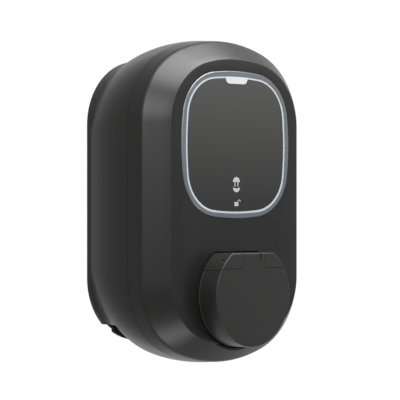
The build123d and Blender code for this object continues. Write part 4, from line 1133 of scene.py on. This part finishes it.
@dataclass
class PanelSigns:
    """The small lit signs on the glass: a plug over its socket cup, and an open padlock."""

    front: float = -89.76
    depth: float = 0.08
    plug_z: float = 16.7
    plug_radius: float = 4.1
    prong_x: float = 1.7
    prong_half: float = 0.5
    prong_reach: float = 4.0
    cup_z: float = 12.0
    cup_reach: float = 4.1
    cup_dip: float = 0.9
    lock_half: float = 2.35
    lock_top: float = -0.4
    lock_height: float = 3.5
    shackle_x: float = 3.3
    shackle_rise: float = 0.3
    shackle_radius: float = 1.7
    shackle_wall: float = 0.6
    disc_steps: int = 24
    arc_steps: int = 12
    join_reach: float = 0.01
    work: BMesh = field(default_factory=bmesh.new)

    def thicken(self, faces: list[bmesh.types.BMFace]) -> None:
        """Gives flat faces the thickness of the print.

        Args:
            faces: The faces.
        """
        grown = bmesh.ops.extrude_face_region(self.work, geom=faces)["geom"]
        corners = [item for item in grown if isinstance(item, bmesh.types.BMVert)]
        bmesh.ops.translate(self.work, vec=(0.0, self.depth, 0.0), verts=corners)

    def half_disc(self, centre_z: float, radius: float, way: int, dip: float) -> None:
        """Adds a half disc.

        Args:
            centre_z: The height of its flat side.
            radius: Its radius.
            way: 1 for its round side up, -1 for down.
            dip: How far its flat side dips in, or 0.
        """
        bm, old = self.work, set(self.work.edges)
        draw_chain(bm, (radius, self.front, centre_z), [Arc(0.0, centre_z, 180.0 * way, self.disc_steps)])
        if dip:
            bend = (radius**2 - dip**2) / (2 * dip)
            turn = math.degrees(2 * math.atan2(radius, bend))
            draw_chain(bm, (-radius, self.front, centre_z), [Arc(0.0, centre_z + bend, turn, self.arc_steps)])
        fresh = {vert for edge in bm.edges if edge not in old for vert in edge.verts}
        bmesh.ops.remove_doubles(bm, verts=list(fresh), dist=self.join_reach)
        outline = [edge for edge in bm.edges if edge not in old]
        self.thicken(bmesh.ops.contextual_create(bm, geom=outline)["faces"])

    def bar(self, low_x: float, high_x: float, low_z: float, high_z: float) -> None:
        """Adds a rectangle.

        Args:
            low_x: Its left side.
            high_x: Its right side.
            low_z: Its lower side.
            high_z: Its upper side.
        """
        made = bmesh.ops.create_cube(self.work, size=1.0)["verts"]
        bmesh.ops.scale(self.work, vec=(high_x - low_x, self.depth, high_z - low_z), verts=made)
        centre = ((low_x + high_x) / 2, self.front + self.depth / 2, (low_z + high_z) / 2)
        bmesh.ops.translate(self.work, vec=centre, verts=made)

    def shackle(self) -> None:
        """Adds the padlock's open shackle, an edge spun half a turn about its middle."""
        bm, old, z = self.work, set(self.work.edges), self.lock_top + self.shackle_rise
        outer = self.shackle_x + self.shackle_radius
        ends = [bm.verts.new((x, self.front, z)) for x in (outer, outer - self.shackle_wall)]
        profile = [bm.edges.new(ends)]
        bmesh.ops.spin(
            bm, geom=ends + profile, cent=(self.shackle_x, self.front, z), axis=TOWARDS_VIEWER,
            angle=math.pi, steps=self.arc_steps,
        )
        faces = {face for item in bm.edges if item not in old for face in item.link_faces}
        self.thicken(list(faces))

    def build(self) -> None:
        """Builds both signs as one raised print."""
        self.half_disc(self.plug_z, self.plug_radius, 1, 0.0)
        for side in (-1, 1):
            middle = side * self.prong_x
            low = self.plug_z - self.prong_reach
            self.bar(middle - self.prong_half, middle + self.prong_half, low, self.plug_z)
        self.half_disc(self.cup_z, self.cup_reach, -1, self.cup_dip)
        self.bar(-self.lock_half, self.lock_half, self.lock_top - self.lock_height, self.lock_top)
        self.shackle()
        bmesh.ops.recalc_face_normals(self.work, faces=self.work.faces)
        Piece("panel_signs", SIGN, "light").from_work(self.work)


@dataclass
class KeptPieces:
    """The pieces whose CAD shape is right: a merged copy of each node with its own finish."""

    frame: dict
    finishes: ClassVar[dict[str, Finish]] = {
        "wall_plate": PLATE, "locking_screw": STEEL, "supply_grommet": RUBBER, "data_grommet": RUBBER,
        "cover_gasket": RUBBER, "cover_screws": STEEL, "light_board_screws": STEEL, "socket_seal": RUBBER,
        "socket_housing": MODULE, "socket_screws": STEEL, "contact_block": MODULE, "power_contacts": SILVER,
        "pilot_contacts": SILVER, "lock_actuator": MODULE, "lock_pin": STEEL, "flap_seal": RUBBER,
        "hinge_pin": STEEL, "flap_spring": STEEL, "power_board": BOARD, "control_board": BOARD,
        "led_board": BOARD, "standoffs": STEEL, "board_screws": STEEL, "relays": MODULE,
        "current_sensor": MODULE, "power_supply": MODULE, "meter_module": PALE, "radio_module": CAN,
        "terminal_block": PALE, "supply_leads": SUPPLY_WIRES, "power_leads": POWER_WIRES,
        "signal_leads": SIGNAL_WIRES, "panel_ribbon": RIBBON, "flap": FLAP, "hinge_base": FLAP,
        "light_ring": BEZEL, "light_line": LINE, "touch_glass": GLASS, "badge_tab": BADGE,
    }
    moving: ClassVar[dict[str, Body]] = {
        "flap": Body.FLAP, "flap_seal": Body.FLAP, "lock_pin": Body.LOCK_PIN
    }

    def build(self) -> None:
        """Dresses every node that has a finish here."""
        slots = {part["node"]: part["material_slot"] for part in self.frame["record"]["subparts"]}
        for name, finish in self.finishes.items():
            body = self.moving.get(name, Body.STATION)
            piece = Piece(f"{name}_finished", finish, slots[name], body, (name,))
            piece.from_work(copy_of_node(self.frame["nodes"][name]))


# Studio


@dataclass(frozen=True)
class Softbox:
    """A rectangular studio lamp that faces a point."""

    name: str
    place: Place
    aim: Place
    size: tuple[float, float]
    power: float

    def hang(self) -> None:
        """Makes the lamp."""
        data = bpy.data.lights.new(self.name, "AREA")
        data.shape = "RECTANGLE"
        data.size, data.size_y = self.size
        data.energy = self.power
        lamp = bpy.data.objects.new(self.name, data)
        lamp.location = self.place
        lamp.rotation_euler = (Vector(self.aim) - Vector(self.place)).to_track_quat("-Z", "Y").to_euler()
        bpy.context.scene.collection.objects.link(lamp)


@dataclass(frozen=True)
class Studio:
    """The white surroundings, the lamps and the camera; the station hangs on a wall, clear of any floor."""

    eye: Place = (-1.1883, -1.3056, 0.0)
    turn: float = 43.3
    lens: float = 180.0
    sensor: float = 36.0
    shift_y: float = 0.0038
    room: float = 0.24
    softboxes: tuple[Softbox, ...] = (
        Softbox("top_softbox", (0.04, -0.38, 0.90), (0.0, -0.05, 0.10), (1.2, 0.5), 40.0),
        Softbox("right_softbox", (0.72, -0.72, 0.66), (0.0, -0.08, 0.08), (0.5, 0.3), 8.0),
        Softbox("left_softbox", (-1.00, -0.74, 0.50), (0.0, -0.08, 0.05), (0.4, 0.6), 15.0),
        Softbox("low_softbox", (-0.20, -0.35, -0.95), (0.0, -0.09, -0.08), (0.5, 0.3), 5.0),
    )

    def camera(self) -> None:
        """Places the camera at the photograph's angle, level with the station's middle."""
        data = bpy.data.cameras.new("camera")
        data.lens, data.sensor_width, data.shift_y = self.lens, self.sensor, self.shift_y
        camera = bpy.data.objects.new("camera", data)
        camera.location = self.eye
        camera.rotation_euler = (math.pi / 2, 0.0, -math.radians(self.turn))
        bpy.context.scene.collection.objects.link(camera)
        bpy.context.scene.camera = camera

    def surroundings(self) -> None:
        """White to the camera and in reflections, grey light on the pieces."""
        world = bpy.data.worlds.new("studio")
        bpy.context.scene.world = world
        world.use_nodes = True
        nodes, links = world.node_tree.nodes, world.node_tree.links
        back = nodes["Background"]
        back.inputs["Color"].default_value = (1.0, 1.0, 1.0, 1.0)
        paths, level = nodes.new("ShaderNodeLightPath"), nodes.new("ShaderNodeMapRange")
        clear, white = nodes.new("ShaderNodeMath"), nodes.new("ShaderNodeMath")
        clear.operation = white.operation = "MAXIMUM"
        level.inputs["To Min"].default_value = self.room
        level.inputs["To Max"].default_value = 1.0
        links.new(paths.outputs["Is Camera Ray"], clear.inputs[0])
        links.new(paths.outputs["Is Transmission Ray"], clear.inputs[1])
        links.new(clear.outputs[0], white.inputs[0])
        links.new(paths.outputs["Is Glossy Ray"], white.inputs[1])
        links.new(white.outputs[0], level.inputs["Value"])
        links.new(level.outputs["Result"], back.inputs["Strength"])

    def build(self) -> None:
        """Sets up the whole studio."""
        bpy.context.scene.view_settings.view_transform = "Standard"
        self.camera()
        self.surroundings()
        for softbox in self.softboxes:
            softbox.hang()


def main() -> None:
    """Builds the charging station around its frame."""
    logging.basicConfig(level=logging.INFO, format="%(name)s: %(message)s")
    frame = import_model()
    Studio().build()
    shells = BodyShells()
    shells.cover()
    shells.housing()
    PanelSigns().build()
    KeptPieces(frame).build()


if __name__ == "__main__":
    main()
